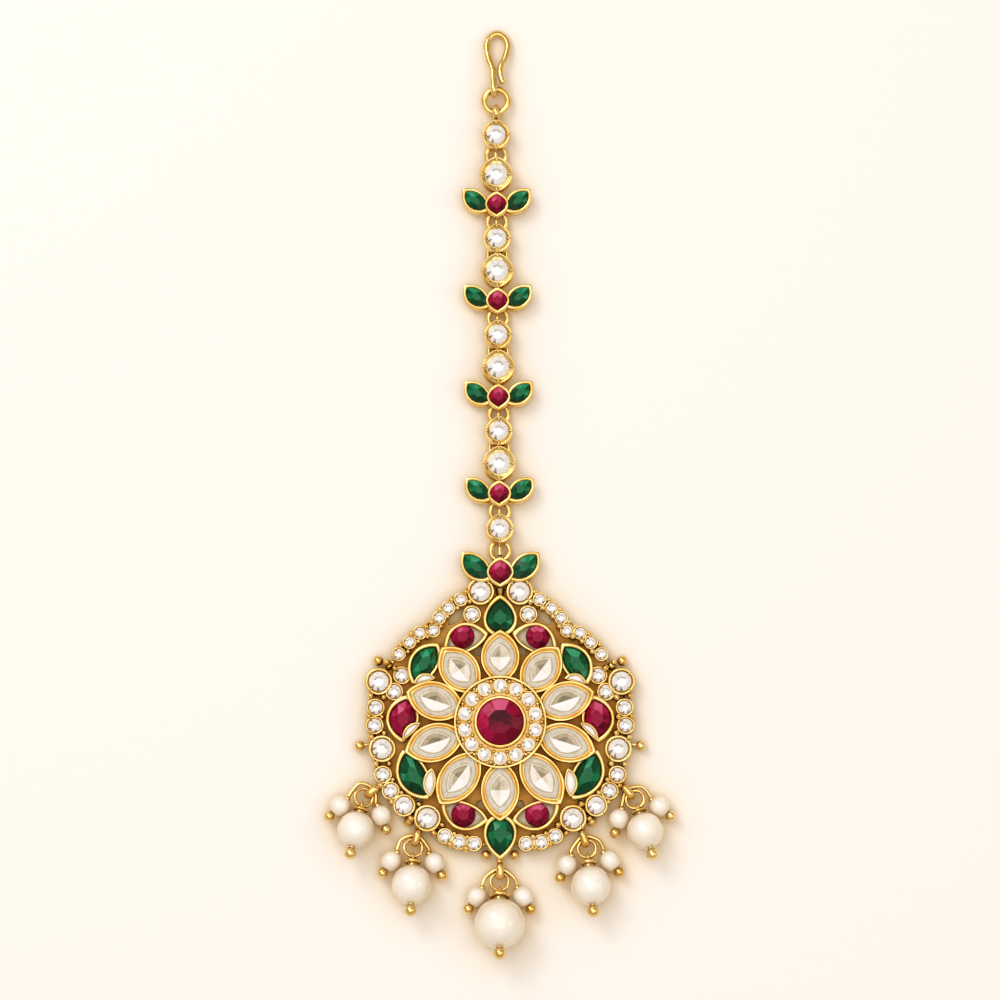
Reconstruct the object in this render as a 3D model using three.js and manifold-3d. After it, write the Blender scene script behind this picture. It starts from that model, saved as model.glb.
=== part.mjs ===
import * as THREE from 'three';
import { mergeVertices } from 'three/addons/utils/BufferGeometryUtils.js';
import Module from 'manifold-3d';

const wasm = await Module();
wasm.setup();

// A maang tikka lying on a surface: hook, jewelled chain, flower pendant and five pearl drops.
// Millimetres, +Y towards the hook, +Z up from the surface.

// Clearances
const stoneGap = 0.12;          // round each loose stone in its setting
const linkGap = 0.12;           // round each wire inside the bail that holds it

// Pendant
const pendantRadius = 20.4;     // from the centre to the outer edge stones' rims
const edgeBand = 5.5;           // width of the band of settings outside the inner petals' tips
const flowerRadius = pendantRadius - edgeBand;
const plateThickness = 0.8;
const settingFoot = plateThickness / 2;   // settings are soldered in to this depth
const edgeRimHeight = 2.2;      // rims of the round settings along the edge
const innerStoneRim = 2.0;      // rims of the round settings inside them
const outerRimHeight = 2.5;     // rims of the coloured outer petals
const innerRimHeight = 3.2;     // rims of the clear inner petals
const crescentTop = 2.4;        // tops of the slivers between the petals
const petalHalfWidth = 2.95;
const petalWall = 0.62;         // width of the gold rim round a petal's stone
const outerWall = 0.55;
const haloRadius = 6.9;
const haloHeight = 3.3;
const haloRimWidth = 0.4;
const haloRimRise = 0.35;
const haloStoneRadius = 0.95;
const haloStoneCount = 14;
const haloSides = 20;
const rubyRadius = 3.4;
const rubyWall = 0.5;
const rubySeatHeight = 2.4;
const rubyRimHeight = 4.1;
const rubyRise = 0.5;           // how far the ruby's table stands over its rim
const stoneRise = 0.25;         // how far a small stone's table stands over its rim
const petalStoneRise = 0.1;
const outerStoneRise = 0.15;
const petalSeat = plateThickness + 0.8;   // floor under the clear petals
const neckWire = 0.7;           // posts that carry the crown and the side beads
const beadNeck = 2.4;

// Round settings, by class
const roundSizes = {
  large: { stone: 1.45, rim: 1.92, sides: 8 },
  middle: { stone: 1.27, rim: 1.6, sides: 8 },
  medium: { stone: 1.0, rim: 1.28, sides: 8 },
  low: { stone: 0.95, rim: 1.12, sides: 8 },
  small: { stone: 0.77, rim: 0.99, sides: 8 },
};

// Chain
const chainPitch = 14.5;        // from one leaf link to the next
const crownRise = 2.1;          // pendant's edge to the middle of the crown leaf
const crownHeight = pendantRadius + crownRise;
const crownTop = 2.75;
const crownPost = 1.2;
const crownStep = 6.5;          // crown leaf to the first round link
const firstLeafStep = 5.3;      // first round link to the first leaf link
const topRoundStep = 6.0;       // last leaf link's round to the top round link
const chainLean = 0.0095;       // drift to the left per unit of height
const cupFloor = 1.35;          // underside of the cups, clear of the rings below
const cupHeight = 1.3;
const ringRadius = 1.43;        // middle of the wire of the rings between links
const ringWire = 0.6;
const bailWire = 0.36;
const leafReach = 5.1;          // middle of a leaf link to its leaf tips, across
const leafRubyHeight = 1.95;    // half height of its ruby setting
const leafRubyWidth = 1.8;
const leafBulge = 1.42;
const leafWall = 0.36;
const leafStoneRise = 0.2;
const leafStep = 0.3;           // the leaves' rims lie this much under the ruby's
const jointWire = 0.9;          // post between a leaf link's two settings
const crownScale = 1.14;

// Hook and its ring
const jumpRingRadius = 1.77;
const jumpRingWire = 0.72;
const jumpRingStep = 5.2;       // top round link to the middle of the jump ring
const longBailWire = 0.5;
const longBailPost = 0.52;
const hookWire = 0.75;
const hookLength = 8.35;        // jump ring wire to the top of the hook
const hookHalfWidth = 1.58;
const hookShift = 0.18;         // the hook's middle lies a little to the right of its ring's
const hookEyeSide = 0.33;       // the eye's place, share of the half width to the left
const hookEyeTurn = 250;        // degrees

// Drops
const dropRingRadius = 1.35;
const dropWire = 0.42;
const dropBailWire = 0.5;
const dropHeight = 1.3;         // middle of the wires in the drops' bails
const dropRingTilt = 15;        // degrees, lower side up
const pinWire = 0.5;
const capRadius = 1.35;
const smallPearlRadius = 1.43;
const smallPearlAngle = 58;     // degrees from the drop's own line
const smallPinAngle = 33;
const endBallRadius = 0.78;
const smallBallRadius = 0.68;
const mainPearlRadius = 3.8;    // of the middle drop
const dropReach = 6.25;         // middle of its ring to the middle of its pearl
const dropStep = 3.69;          // root of its bail to the middle of its ring
const smallPearlSpread = 2.75;
const dropBailPost = 0.6;
const dropBailRoot = 0.6;       // length of the post that is soldered down
const shoulderWidth = 0.72;     // the arc's wire passes the ring this far outside it

// Settings along the edge, right half: shares of the pendant radius
const edgeStones = [
  { across: 0.143, up: 0.960, size: 'large' },
  { across: 0.289, up: 0.901, size: 'small' },
  { across: 0.379, up: 0.838, size: 'small' },
  { across: 0.447, up: 0.767, size: 'small' },
  { across: 0.489, up: 0.673, size: 'small' },
  { across: 0.587, up: 0.657, size: 'small' },
  { across: 0.664, up: 0.588, size: 'small' },
  { across: 0.741, up: 0.500, size: 'small' },
  { across: 0.888, up: 0.300, size: 'large' },
  { across: 0.910, up: 0.109, size: 'medium' },
  { across: 0.918, up: -0.021, size: 'medium' },
  { across: 0.863, up: -0.193, size: 'large' },
  { across: 0.857, up: -0.382, size: 'medium' },
  { across: 0.800, up: -0.500, size: 'medium' },
  { across: 0.702, up: -0.607, size: 'middle' },
  { across: 0.532, up: -0.701, size: 'large' },
  { across: 0.403, up: -0.831, size: 'low' },
  { across: 0.300, up: -0.874, size: 'low' },
  { across: 0.190, up: -0.886, size: 'low' },
];
const innerStones = [
  { across: 0.206, up: 0.793, size: 'medium' },
  { across: 0.719, up: 0.346, size: 'medium' },
  { across: 0.774, up: 0.226, size: 'medium' },
];

// Solder beads on the edge, right half: shares of the pendant radius, and a neck's length
const edgeBeads = [
  { across: 0.816, up: 0.419, radius: 0.034, neck: 0 },
  { across: 0.893, up: 0.455, radius: 0.039, neck: 0 },
  { across: 1.030, up: -0.168, radius: 0.040, neck: beadNeck },
  { across: 0.668, up: -0.722, radius: 0.037, neck: 0 },
  { across: 0.105, up: -0.966, radius: 0.035, neck: 0 },
];

// Inner petals: direction in degrees and reach as a share of the flower radius
const innerPetals = [
  { angle: 90, reach: 0.931 },
  { angle: 52, reach: 0.955 },
  { angle: 18, reach: 0.992 },
  { angle: -17.5, reach: 1.003 },
  { angle: -53.5, reach: 1.025 },
  { angle: -90, reach: 0.997 },
  { angle: -126.5, reach: 1.025 },
  { angle: -162.5, reach: 1.003 },
  { angle: 162, reach: 0.992 },
  { angle: 128, reach: 0.955 },
];
const petalRoot = 0.37;         // inner end of a petal, share of the flower radius

// Outer petals, right half: tips and bulges as shares of the flower radius
const outerPetals = [
  { name: 'red_upper', x1: 0.115, y1: 0.895, x2: 0.573, y2: 0.704, out: 0.185, back: 0.07 },
  { name: 'green_upper', x1: 0.618, y1: 0.799, x2: 0.879, y2: 0.372, out: 0.170, back: 0.06 },
  { name: 'red_side', x1: 0.933, y1: 0.281, x2: 0.988, y2: -0.206, out: 0.184, back: 0.08 },
  { name: 'green_lower', x1: 0.978, y1: -0.271, x2: 0.717, y2: -0.774, out: 0.190, back: 0.07 },
  { name: 'red_lower', x1: 0.596, y1: -0.804, x2: 0.114, y2: -0.985, out: 0.183, back: 0.06 },
];
const middlePetals = [
  { name: 'green_top', y1: 1.291, y2: 0.844, bulge: 0.171 },
  { name: 'green_bottom', y1: -1.382, y2: -0.905, bulge: 0.168 },
];
const crescents = [
  { x1: 0.638, y1: 0.432, x2: 0.869, y2: 0.402, out: 0.05, back: 0.015 },
  { x1: 0.784, y1: -0.015, x2: 0.985, y2: -0.181, out: 0.05, back: 0.01 },
  { x1: 0.704, y1: -0.472, x2: 0.724, y2: -0.754, out: 0.07, back: 0.04 },
];

// Pierced gaps between the petals, right half: shares of the flower radius
const piercings = [
  { x1: 0.36, y1: 1.15, x2: 0.52, y2: 0.98, out: 0.05, back: 0.05 },
  { x1: 0.17, y1: 0.76, x2: 0.26, y2: 0.68, out: 0.05, back: 0.05 },
  { x1: 0.45, y1: 0.25, x2: 0.49, y2: 0.31, out: 0.03, back: 0.03 },
  { x1: 0.77, y1: -0.80, x2: 0.87, y2: -0.78, out: 0.04, back: 0.04 },
  { x1: 0.17, y1: -0.85, x2: 0.23, y2: -0.78, out: 0.05, back: 0.05 },
];

// Hook's centre line from its free end round to its eye: shares of its half width and length
const hookRoute = [
  { across: 0.52, along: 0.13 },
  { across: 0.33, along: 0.255 },
  { across: 0.33, along: 0.40 },
  { across: 0.71, along: 0.54 },
  { across: 1.0, along: 0.775 },
  { across: 0.67, along: 0.937 },
  { across: 0, along: 1.0 },
  { across: -0.67, along: 0.937 },
  { across: -1.0, along: 0.775 },
  { across: -0.81, along: 0.54 },
  { across: -0.476, along: 0.363 },
  { across: -0.38, along: 0.147 },
];

// Drops: the bail's root as shares of the pendant radius, or for the middle drop of the flower
// radius; the way from there to the ring as shares of the drop step; the drop's lean in degrees;
// its pearl and its reach as shares of the middle drop's
const drops = [
  { name: 'a', rootX: -0.87, rootY: -0.456, ringX: -0.71, ringY: -0.52, lean: -13.2, pearl: 0.73, reach: 0.79 },
  { name: 'b', rootX: -0.595, rootY: -0.785, ringX: -0.22, ringY: -0.74, lean: -2.4, pearl: 0.79, reach: 0.88 },
  { name: 'c', tipY: -1.3485, ringX: -0.02, ringY: -1, lean: 0, pearl: 1, reach: 1 },
  { name: 'd', rootX: 0.595, rootY: -0.785, ringX: 0.22, ringY: -0.78, lean: 5.5, pearl: 0.79, reach: 0.88 },
  { name: 'e', rootX: 0.89, rootY: -0.456, ringX: 0.54, ringY: -0.61, lean: 17, pearl: 0.73, reach: 0.78 },
];

const gold = { color: 0xd9a441, roughness: 0.25, metalness: 1 };
const ruby = { color: 0x9c0f35, roughness: 0.08, metalness: 0 };
const emerald = { color: 0x0b6b3a, roughness: 0.08, metalness: 0 };
const kundan = { color: 0xe9dcc8, roughness: 0.1, metalness: 0 };
const pearl = { color: 0xf8eedd, roughness: 0.22, metalness: 0 };

const tikka = new THREE.Group();

function addPiece(name, geometry, look) {
  const mesh = new THREE.Mesh(geometry, new THREE.MeshStandardMaterial(look));
  mesh.name = name;
  tikka.add(mesh);
}

function radians(degrees) {
  return THREE.MathUtils.degToRad(degrees);
}

// Solids from geometries, and back

function solid(geometry) {
  geometry.deleteAttribute('normal');
  geometry.deleteAttribute('uv');
  const merged = mergeVertices(geometry, 1e-4);
  return new wasm.Manifold(new wasm.Mesh({
    numProp: 3,
    vertProperties: new Float32Array(merged.attributes.position.array),
    triVerts: new Uint32Array(merged.index.array),
  }));
}

function fuse(solids) {
  return solids.reduce((whole, next) => whole.add(next));
}

function geometryOf(body) {
  const mesh = body.getMesh();
  const geometry = new THREE.BufferGeometry();
  geometry.setAttribute('position', new THREE.BufferAttribute(new Float32Array(mesh.vertProperties), 3));
  geometry.setIndex(new THREE.BufferAttribute(new Uint32Array(mesh.triVerts), 1));
  return geometry;
}

// Outlines

const leafFullness = 0.22;      // how near its tips a side starts to swell
const tipDraw = 1.5;            // a wall is this much thicker at the tips

// A pointed outline between two tips: each side is one curve, bulging out to its own distance.
function leafShape(start, end, out, back) {
  const along = new THREE.Vector2().subVectors(end, start);
  const side = new THREE.Vector2(-along.y, along.x).normalize();
  const control = (share, bulge) =>
    start.clone().addScaledVector(along, share).addScaledVector(side, bulge * 4 / 3);
  const shape = new THREE.Shape();
  const curve = (first, second, tip) =>
    shape.bezierCurveTo(first.x, first.y, second.x, second.y, tip.x, tip.y);
  shape.moveTo(start.x, start.y);
  curve(control(leafFullness, -back), control(1 - leafFullness, -back), end);
  curve(control(1 - leafFullness, out), control(leafFullness, out), start);
  return shape;
}

// The same outline drawn in by a wall, with its tips drawn in a little further.
function insetLeaf(start, end, out, back, wall) {
  const along = new THREE.Vector2().subVectors(end, start).normalize();
  const from = start.clone().addScaledVector(along, wall * tipDraw);
  const to = end.clone().addScaledVector(along, -wall * tipDraw);
  return leafShape(from, to, out - wall, back - wall);
}

function prism(shape, low, high, segments = 4) {
  const options = { depth: high - low, bevelEnabled: false, curveSegments: segments };
  const geometry = new THREE.ExtrudeGeometry(shape, options);
  geometry.translate(0, 0, low);
  return solid(geometry);
}

// A cut stone: its girdle on its outline, drawn in to a smaller face below and to the table above.
function cutStone(shape, low, high, tableShare, segments = 4) {
  const levels = [
    { share: 0.82, height: low },
    { share: 1, height: THREE.MathUtils.lerp(low, high, 0.6) },
    { share: tableShare, height: high },
  ];
  const steps = levels.length - 1;
  const options = { depth: steps, steps, bevelEnabled: false, curveSegments: segments };
  const geometry = new THREE.ExtrudeGeometry(shape, options);
  geometry.computeBoundingBox();
  const middle = geometry.boundingBox.getCenter(new THREE.Vector3());
  const place = geometry.attributes.position;
  for (let i = 0; i < place.count; i++) {
    const { share, height } = levels[Math.round(place.getZ(i))];
    const x = THREE.MathUtils.lerp(middle.x, place.getX(i), share);
    const y = THREE.MathUtils.lerp(middle.y, place.getY(i), share);
    place.setXYZ(i, x, y, height);
  }
  return solid(geometry);
}

// Turned and bent parts

function turned(profile, sides) {
  const points = profile.map(([radius, height]) => new THREE.Vector2(radius, height));
  const geometry = new THREE.LatheGeometry(points, sides);
  geometry.rotateX(Math.PI / 2);
  return geometry;
}

function ball(radius, x, y, z, sides = 10, rings = 4) {
  const geometry = new THREE.SphereGeometry(radius, sides, rings);
  geometry.rotateX(Math.PI / 2);
  geometry.translate(x, y, z);
  return solid(geometry);
}

function bar(from, to, wire, sides = 5) {
  const along = new THREE.Vector3().subVectors(to, from);
  const geometry = new THREE.CylinderGeometry(wire / 2, wire / 2, along.length(), sides);
  const turn = new THREE.Quaternion();
  turn.setFromUnitVectors(new THREE.Vector3(0, 1, 0), along.clone().normalize());
  geometry.applyQuaternion(turn);
  geometry.translate((from.x + to.x) / 2, (from.y + to.y) / 2, (from.z + to.z) / 2);
  return solid(geometry);
}

function wireTube(points, wire, steps) {
  const section = new THREE.Shape();
  section.absarc(0, 0, wire / 2, 0, Math.PI * 2, false);
  const path = new THREE.CatmullRomCurve3(points);
  return new THREE.ExtrudeGeometry(section, { steps, extrudePath: path, curveSegments: 3 });
}

function flatRing(radius, wire, x, y, z, sides = 10) {
  const geometry = new THREE.TorusGeometry(radius, wire / 2, 5, sides);
  geometry.translate(x, y, z);
  return geometry;
}

// An upright loop round a wire, drawn out by half its length each way along its own line.
function bail(wire, holds, halfLength, x, y, z, direction = Math.PI / 2) {
  const radius = holds / 2 + linkGap + wire / 2;
  const sides = 8;
  const geometry = new THREE.TorusGeometry(radius, wire / 2, 5, sides);
  geometry.rotateZ(Math.PI / sides + Math.PI / 2);
  const place = geometry.attributes.position;
  for (let i = 0; i < place.count; i++) {
    place.setX(i, place.getX(i) + Math.sign(place.getX(i)) * halfLength);
  }
  geometry.rotateX(Math.PI / 2);
  geometry.rotateZ(direction);
  geometry.translate(x, y, z);
  return solid(geometry);
}

// Settings

// One round setting with its stone: wall, crown facets and table.
function roundSetting(size, floor, rim, x, y) {
  const table = rim + stoneRise;
  const geometry = turned([
    [0, floor], [size.rim, floor], [size.rim, rim], [size.stone * 0.6, table], [0, table],
  ], size.sides);
  geometry.translate(x, y, 0);
  return solid(geometry);
}

function vector(x, y) {
  return new THREE.Vector2(x, y);
}

// A pointed setting with its stone standing a little over the rim.
function leafSetting(start, end, bulge, floor, top) {
  const inset = insetLeaf(start, end, bulge, bulge, leafWall);
  return fuse([
    prism(leafShape(start, end, bulge, bulge), floor, top),
    cutStone(inset, top - leafStoneRise, top + leafStoneRise, 0.6),
  ]);
}

// A ruby in a pointed setting between two green leaves, centred on x, y.
function leafMotif(x, y, scale, floor, top) {
  const ruby = leafSetting(
    vector(x, y + leafRubyHeight * scale), vector(x, y - leafRubyHeight * scale),
    leafRubyWidth * scale, floor, top);
  const leaves = [-1, 1].map((side) => leafSetting(
    vector(x + side * leafReach * scale, y + 0.43 * leafReach * scale),
    vector(x + side * leafReach * scale * 0.22, y - 0.2 * leafReach * scale),
    leafBulge * scale, floor, top - leafStep));
  return fuse([ruby, ...leaves]);
}

// Wires lie this high over the surface, so that the bails round them just clear it.
const bailLift = 0.02;
const ringLevel = bailWire + linkGap + ringWire / 2 + bailLift;

// The bail under a link that holds the ring half way to the next link.
function underBail(x, y, step, way) {
  return bail(bailWire, ringWire, 0, x, y + way * (step / 2 - ringRadius), ringLevel);
}

function leanAt(y) {
  return -chainLean * (y - crownHeight);
}

// Chain, from the crown leaf up to the hook

const smallRound = { stone: 1.53, rim: 2.17, sides: 8 };
const largeRound = { stone: 1.65, rim: 2.42, sides: 10 };
const leafToRound = 0.31 * chainPitch;
const roundToRound = 0.335 * chainPitch;
const roundToLeaf = 0.355 * chainPitch;
const linkCount = 4;
const cupTop = cupFloor + cupHeight;
let ringNumber = 0;

function addRing(y, step) {
  ringNumber += 1;
  const middle = y + step / 2;
  const geometry = flatRing(ringRadius, ringWire, leanAt(middle), middle, ringLevel);
  addPiece(`chain_ring_${ringNumber}`, geometry, gold);
}

function roundLink(y, stepBelow, topBail) {
  const x = leanAt(y);
  return fuse([
    roundSetting(smallRound, cupFloor, cupTop, x, y),
    underBail(x, y, stepBelow, -1),
    topBail,
  ]);
}

function addChain() {
  let y = crownHeight;
  let stepBelow = crownStep;
  for (let i = 1; i <= linkCount; i++) {
    addRing(y, stepBelow);
    y += stepBelow;
    const stepToLeaf = i === 1 ? firstLeafStep : roundToLeaf;
    const topBail = underBail(leanAt(y), y, stepToLeaf, 1);
    addPiece(`round_link_${i}`, geometryOf(roundLink(y, stepBelow, topBail)), gold);
    addRing(y, stepToLeaf);
    y += stepToLeaf;
    const x = leanAt(y);
    const roundY = y + leafToRound;
    const stepAbove = i === linkCount ? topRoundStep : roundToRound;
    const link = fuse([
      leafMotif(x, y, 1, cupFloor, cupTop),
      underBail(x, y, stepToLeaf, -1),
      roundSetting(largeRound, cupFloor, cupTop, leanAt(roundY), roundY),
      bar(new THREE.Vector3(x, y + leafRubyHeight - leafWall, cupFloor + jointWire / 2),
        new THREE.Vector3(x, roundY - largeRound.rim + leafWall, cupFloor + jointWire / 2), jointWire),
      underBail(leanAt(roundY), roundY, stepAbove, 1),
    ]);
    addPiece(`leaf_link_${i}`, geometryOf(link), gold);
    y = roundY;
    stepBelow = stepAbove;
  }
  addRing(y, stepBelow);
  y += stepBelow;
  addTop(y, stepBelow);
}

// The last round link with its longer bail, the jump ring and the hook.
function addTop(y, stepBelow) {
  const x = leanAt(y);
  const level = hookWire + linkGap + jumpRingWire / 2 + bailLift;
  const ringY = y + jumpRingStep;
  const bailY = ringY - jumpRingRadius;
  const bailFoot = bailY - jumpRingWire / 2 - linkGap - longBailWire / 2;
  const topBail = fuse([
    bail(longBailWire, jumpRingWire, 0, x, bailY, level),
    bar(new THREE.Vector3(x, y, cupFloor + longBailPost / 2),
      new THREE.Vector3(x, bailFoot, level), longBailPost),
  ]);
  addPiece(`round_link_${linkCount + 1}`, geometryOf(roundLink(y, stepBelow, topBail)), gold);
  addPiece('jump_ring', flatRing(jumpRingRadius, jumpRingWire, x, ringY, level), gold);
  addPiece('hook', hookGeometry(x, ringY + jumpRingRadius, level), gold);
}

function hookGeometry(ringX, eyeY, eyeZ) {
  const x = ringX + hookShift;
  const eyeRadius = jumpRingWire / 2 + linkGap + hookWire / 2;
  const eyeTop = eyeZ + eyeRadius;
  const points = hookRoute.map(({ across, along }) => new THREE.Vector3(
    x + across * hookHalfWidth,
    eyeY + along * hookLength,
    THREE.MathUtils.lerp(eyeTop, hookWire / 2, along),
  ));
  const eyeX = x - hookEyeSide * hookHalfWidth;
  const eyePoints = 6;
  for (let i = 0; i <= eyePoints; i++) {
    const turn = radians(hookEyeTurn * i / eyePoints);
    const y = eyeY - eyeRadius * Math.sin(turn);
    points.push(new THREE.Vector3(eyeX, y, eyeZ + eyeRadius * Math.cos(turn)));
  }
  return wireTube(points, hookWire, 34);
}

// Pendant

function onBothSides(rows) {
  return rows.flatMap((row) => [row, mirrored(row)]);
}

function mirrored(row) {
  const copy = { ...row, flip: true };
  for (const key of ['across', 'x1', 'x2']) {
    if (key in copy) copy[key] = -copy[key];
  }
  return copy;
}

// Outline of one petal row, drawn in by a wall.
function rowShape(row, wall = 0) {
  const start = vector(row.x1 * flowerRadius, row.y1 * flowerRadius);
  const end = vector(row.x2 * flowerRadius, row.y2 * flowerRadius);
  const out = row.out * flowerRadius;
  const back = row.back * flowerRadius;
  const [left, right] = row.flip ? [back, out] : [out, back];
  if (wall === 0) return leafShape(start, end, left, right);
  return insetLeaf(start, end, left, right, wall);
}

function middleRow({ y1, y2, bulge }) {
  return { x1: 0, x2: 0, y1, y2, out: bulge, back: bulge };
}

function innerPetalShape({ angle, reach }, wall = 0) {
  const direction = vector(Math.cos(radians(angle)), Math.sin(radians(angle)));
  const start = direction.clone().multiplyScalar(petalRoot * flowerRadius);
  const end = direction.clone().multiplyScalar(reach * flowerRadius);
  if (wall === 0) return leafShape(start, end, petalHalfWidth, petalHalfWidth);
  return insetLeaf(start, end, petalHalfWidth, petalHalfWidth, wall);
}

// The back plate's outline runs just outside the middles of the edge settings.
function plateShape() {
  const right = edgeStones.map(({ across, up, size }) => {
    const middle = vector(across, up).multiplyScalar(pendantRadius);
    return middle.clone().addScaledVector(middle.clone().normalize(), roundSizes[size].rim * 1.08);
  });
  const left = right.map((point) => vector(-point.x, point.y)).reverse();
  return new THREE.Shape([...right, ...left]);
}

function disc(radius, low, high, sides) {
  return solid(turned([[0, low], [radius, low], [radius, high], [0, high]], sides));
}

// One cut stone of the halo, standing straight on the disc.
function haloStone(angle) {
  const orbit = (rubyRadius + rubyWall + haloRadius - haloRimWidth) / 2;
  const foot = haloHeight - 0.15;
  const table = haloHeight + haloRimRise;
  const geometry = turned([
    [0, foot], [haloStoneRadius, foot], [haloStoneRadius * 0.6, table], [0, table],
  ], 8);
  geometry.translate(orbit * Math.cos(angle), orbit * Math.sin(angle), 0);
  return solid(geometry);
}

// The raised disc in the middle: its rim, its ring of stones and the ruby's open setting.
function halo() {
  const rimTop = haloHeight + haloRimRise;
  const rubyBore = rubyRadius + stoneGap;
  const seat = rubySeatHeight - stoneGap;
  const body = solid(turned([
    [0, settingFoot], [haloRadius, settingFoot], [haloRadius, rimTop], [haloRadius - haloRimWidth, rimTop],
    [haloRadius - haloRimWidth, haloHeight], [rubyRadius + rubyWall, haloHeight],
    [rubyRadius + rubyWall, rubyRimHeight], [rubyBore, rubyRimHeight], [rubyBore, seat], [0, seat],
  ], haloSides));
  const stones = [];
  for (let i = 0; i < haloStoneCount; i++) {
    stones.push(haloStone(Math.PI / 2 + 2 * Math.PI * i / haloStoneCount));
  }
  return fuse([body, ...stones]);
}

function edgeBead({ across, up, radius, neck }) {
  const size = radius * pendantRadius;
  const middle = new THREE.Vector3(across * pendantRadius, up * pendantRadius, plateThickness + size / 8);
  const bead = ball(size, middle.x, middle.y, middle.z, 8);
  if (neck === 0) return bead;
  const inward = middle.clone().setZ(0).setLength(neck);
  return bead.add(bar(middle.clone().sub(inward), middle, neckWire));
}

// Round settings stand on the plate. Drawn out by a gap and a height they also clear room.
function edgeSettings(rows, rimHeight, gap = 0) {
  return onBothSides(rows).map(({ across, up, size }) => {
    const round = { ...roundSizes[size], rim: roundSizes[size].rim + gap };
    return roundSetting(round, settingFoot - gap, rimHeight, across * pendantRadius, up * pendantRadius);
  });
}

function pendantMetal() {
  const edge = edgeSettings(edgeStones, edgeRimHeight);
  const inner = edgeSettings(innerStones, innerStoneRim);
  const beads = onBothSides(edgeBeads).map(edgeBead);
  const outerRows = [...onBothSides(outerPetals), ...middlePetals.map(middleRow)];
  const outer = outerRows.map((row) => prism(rowShape(row), 0, outerRimHeight)
    .subtract(prism(rowShape(row, outerWall), plateThickness, outerRimHeight + 1)));
  const slivers = onBothSides(crescents).map((row) => cutStone(rowShape(row), settingFoot, crescentTop, 0.5));
  const plate = prism(plateShape(), 0, plateThickness);
  const gaps = onBothSides(piercings).map((row) => prism(rowShape(row), -1, outerRimHeight + 1, 3));
  const backing = fuse([plate, ...outer, ...inner, ...slivers]).subtract(fuse(gaps));
  const petals = innerPetals.map((petal) => prism(innerPetalShape(petal), settingFoot, innerRimHeight));
  const petalSeats = innerPetals.map((petal) => prism(
    innerPetalShape(petal, petalWall), petalSeat, innerRimHeight + 1));
  const flower = fuse([backing, ...petals]).subtract(fuse(petalSeats));
  return fuse([flower, ...edge, ...beads, halo(), crown(), ...drops.map(dropBail)]);
}

// The leaf at the pendant's top, with the post that carries it on the plate.
function crown() {
  return fuse([
    leafMotif(0, crownHeight, crownScale, cupFloor, crownTop),
    underBail(0, crownHeight, crownStep, 1),
    bar(new THREE.Vector3(0, crownHeight - leafRubyHeight, cupFloor),
      new THREE.Vector3(0, 0.9 * pendantRadius, plateThickness), crownPost),
  ]);
}

function addPendant() {
  addPiece('pendant_frame', geometryOf(pendantMetal()), gold);
  const slope = (rubyRimHeight - rubySeatHeight) / 2;
  addPiece('centre_ruby', turned([
    [0, rubySeatHeight], [rubyRadius * 0.5, rubySeatHeight], [rubyRadius, rubySeatHeight + slope],
    [rubyRadius, rubyRimHeight - stoneRise], [rubyRadius * 0.5, rubyRimHeight + rubyRise],
    [0, rubyRimHeight + rubyRise],
  ], haloSides), ruby);
  const haloZone = disc(haloRadius + stoneGap, 0, rubyRimHeight + 2, haloSides);
  innerPetals.forEach((petal, i) => {
    const shape = innerPetalShape(petal, petalWall + stoneGap);
    const stone = cutStone(shape, petalSeat + stoneGap, innerRimHeight + petalStoneRise, 0.6);
    addPiece(`petal_stone_${i + 1}`, geometryOf(stone.subtract(haloZone)), kundan);
  });
  const taken = fuse([
    ...innerPetals.map((petal) => prism(innerPetalShape(petal, -stoneGap), 0, innerRimHeight + 2)),
    ...onBothSides(crescents).map((row) => prism(rowShape(row, -stoneGap), 0, outerRimHeight + 2)),
    ...edgeSettings([...edgeStones, ...innerStones], outerRimHeight + 2, stoneGap),
    haloZone,
  ]);
  const addOuter = (name, row, look) => {
    const shape = rowShape(row, outerWall + stoneGap);
    const stone = cutStone(shape, plateThickness + stoneGap, outerRimHeight + outerStoneRise, 0.6);
    addPiece(name, geometryOf(stone.subtract(taken)), look);
  };
  for (const row of onBothSides(outerPetals)) {
    const side = row.flip ? 'left' : 'right';
    addOuter(`${row.name}_${side}`, row, row.name.startsWith('red') ? ruby : emerald);
  }
  for (const row of middlePetals) addOuter(row.name, middleRow(row), emerald);
}

// Drops

// Where the bail is soldered on: near the edge, or for the middle drop at the lowest petal's tip.
function dropRoot({ rootX, rootY, tipY }) {
  if (tipY) return vector(0, tipY * flowerRadius);
  return vector(rootX, rootY).multiplyScalar(pendantRadius);
}

// Ring middle, the way to the bail's root, the way the drop lies and its own right hand side.
function dropFrame(drop) {
  const root = dropRoot(drop);
  const ring = root.clone().addScaledVector(vector(drop.ringX, drop.ringY), dropStep);
  const up = root.clone().sub(ring).normalize();
  const lean = radians(drop.lean);
  const down = vector(Math.sin(lean), -Math.cos(lean));
  return { ring, root, up, down, right: vector(-down.y, down.x) };
}

function raised(point, z) {
  return new THREE.Vector3(point.x, point.y, z);
}

// The drop's ring and its arc's wire lie side by side in the bail.
const wireClearance = 0.18;
const dropWireStep = dropWire + wireClearance;

function dropBail(drop) {
  const { ring, root, up } = dropFrame(drop);
  const middle = ring.clone().addScaledVector(up, dropRingRadius + dropWireStep / 2);
  const reach = dropRingRadius + dropWireStep + dropWire / 2 + linkGap + dropBailWire / 2;
  const near = ring.clone().addScaledVector(up, reach);
  const foot = root.clone().addScaledVector(up, dropBailRoot);
  const way = Math.atan2(up.y, up.x);
  return fuse([
    bail(dropBailWire, dropWire, dropWireStep / 2, middle.x, middle.y, dropHeight, way),
    bar(raised(near, dropHeight), raised(foot, plateThickness), dropBailPost),
  ]);
}

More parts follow.
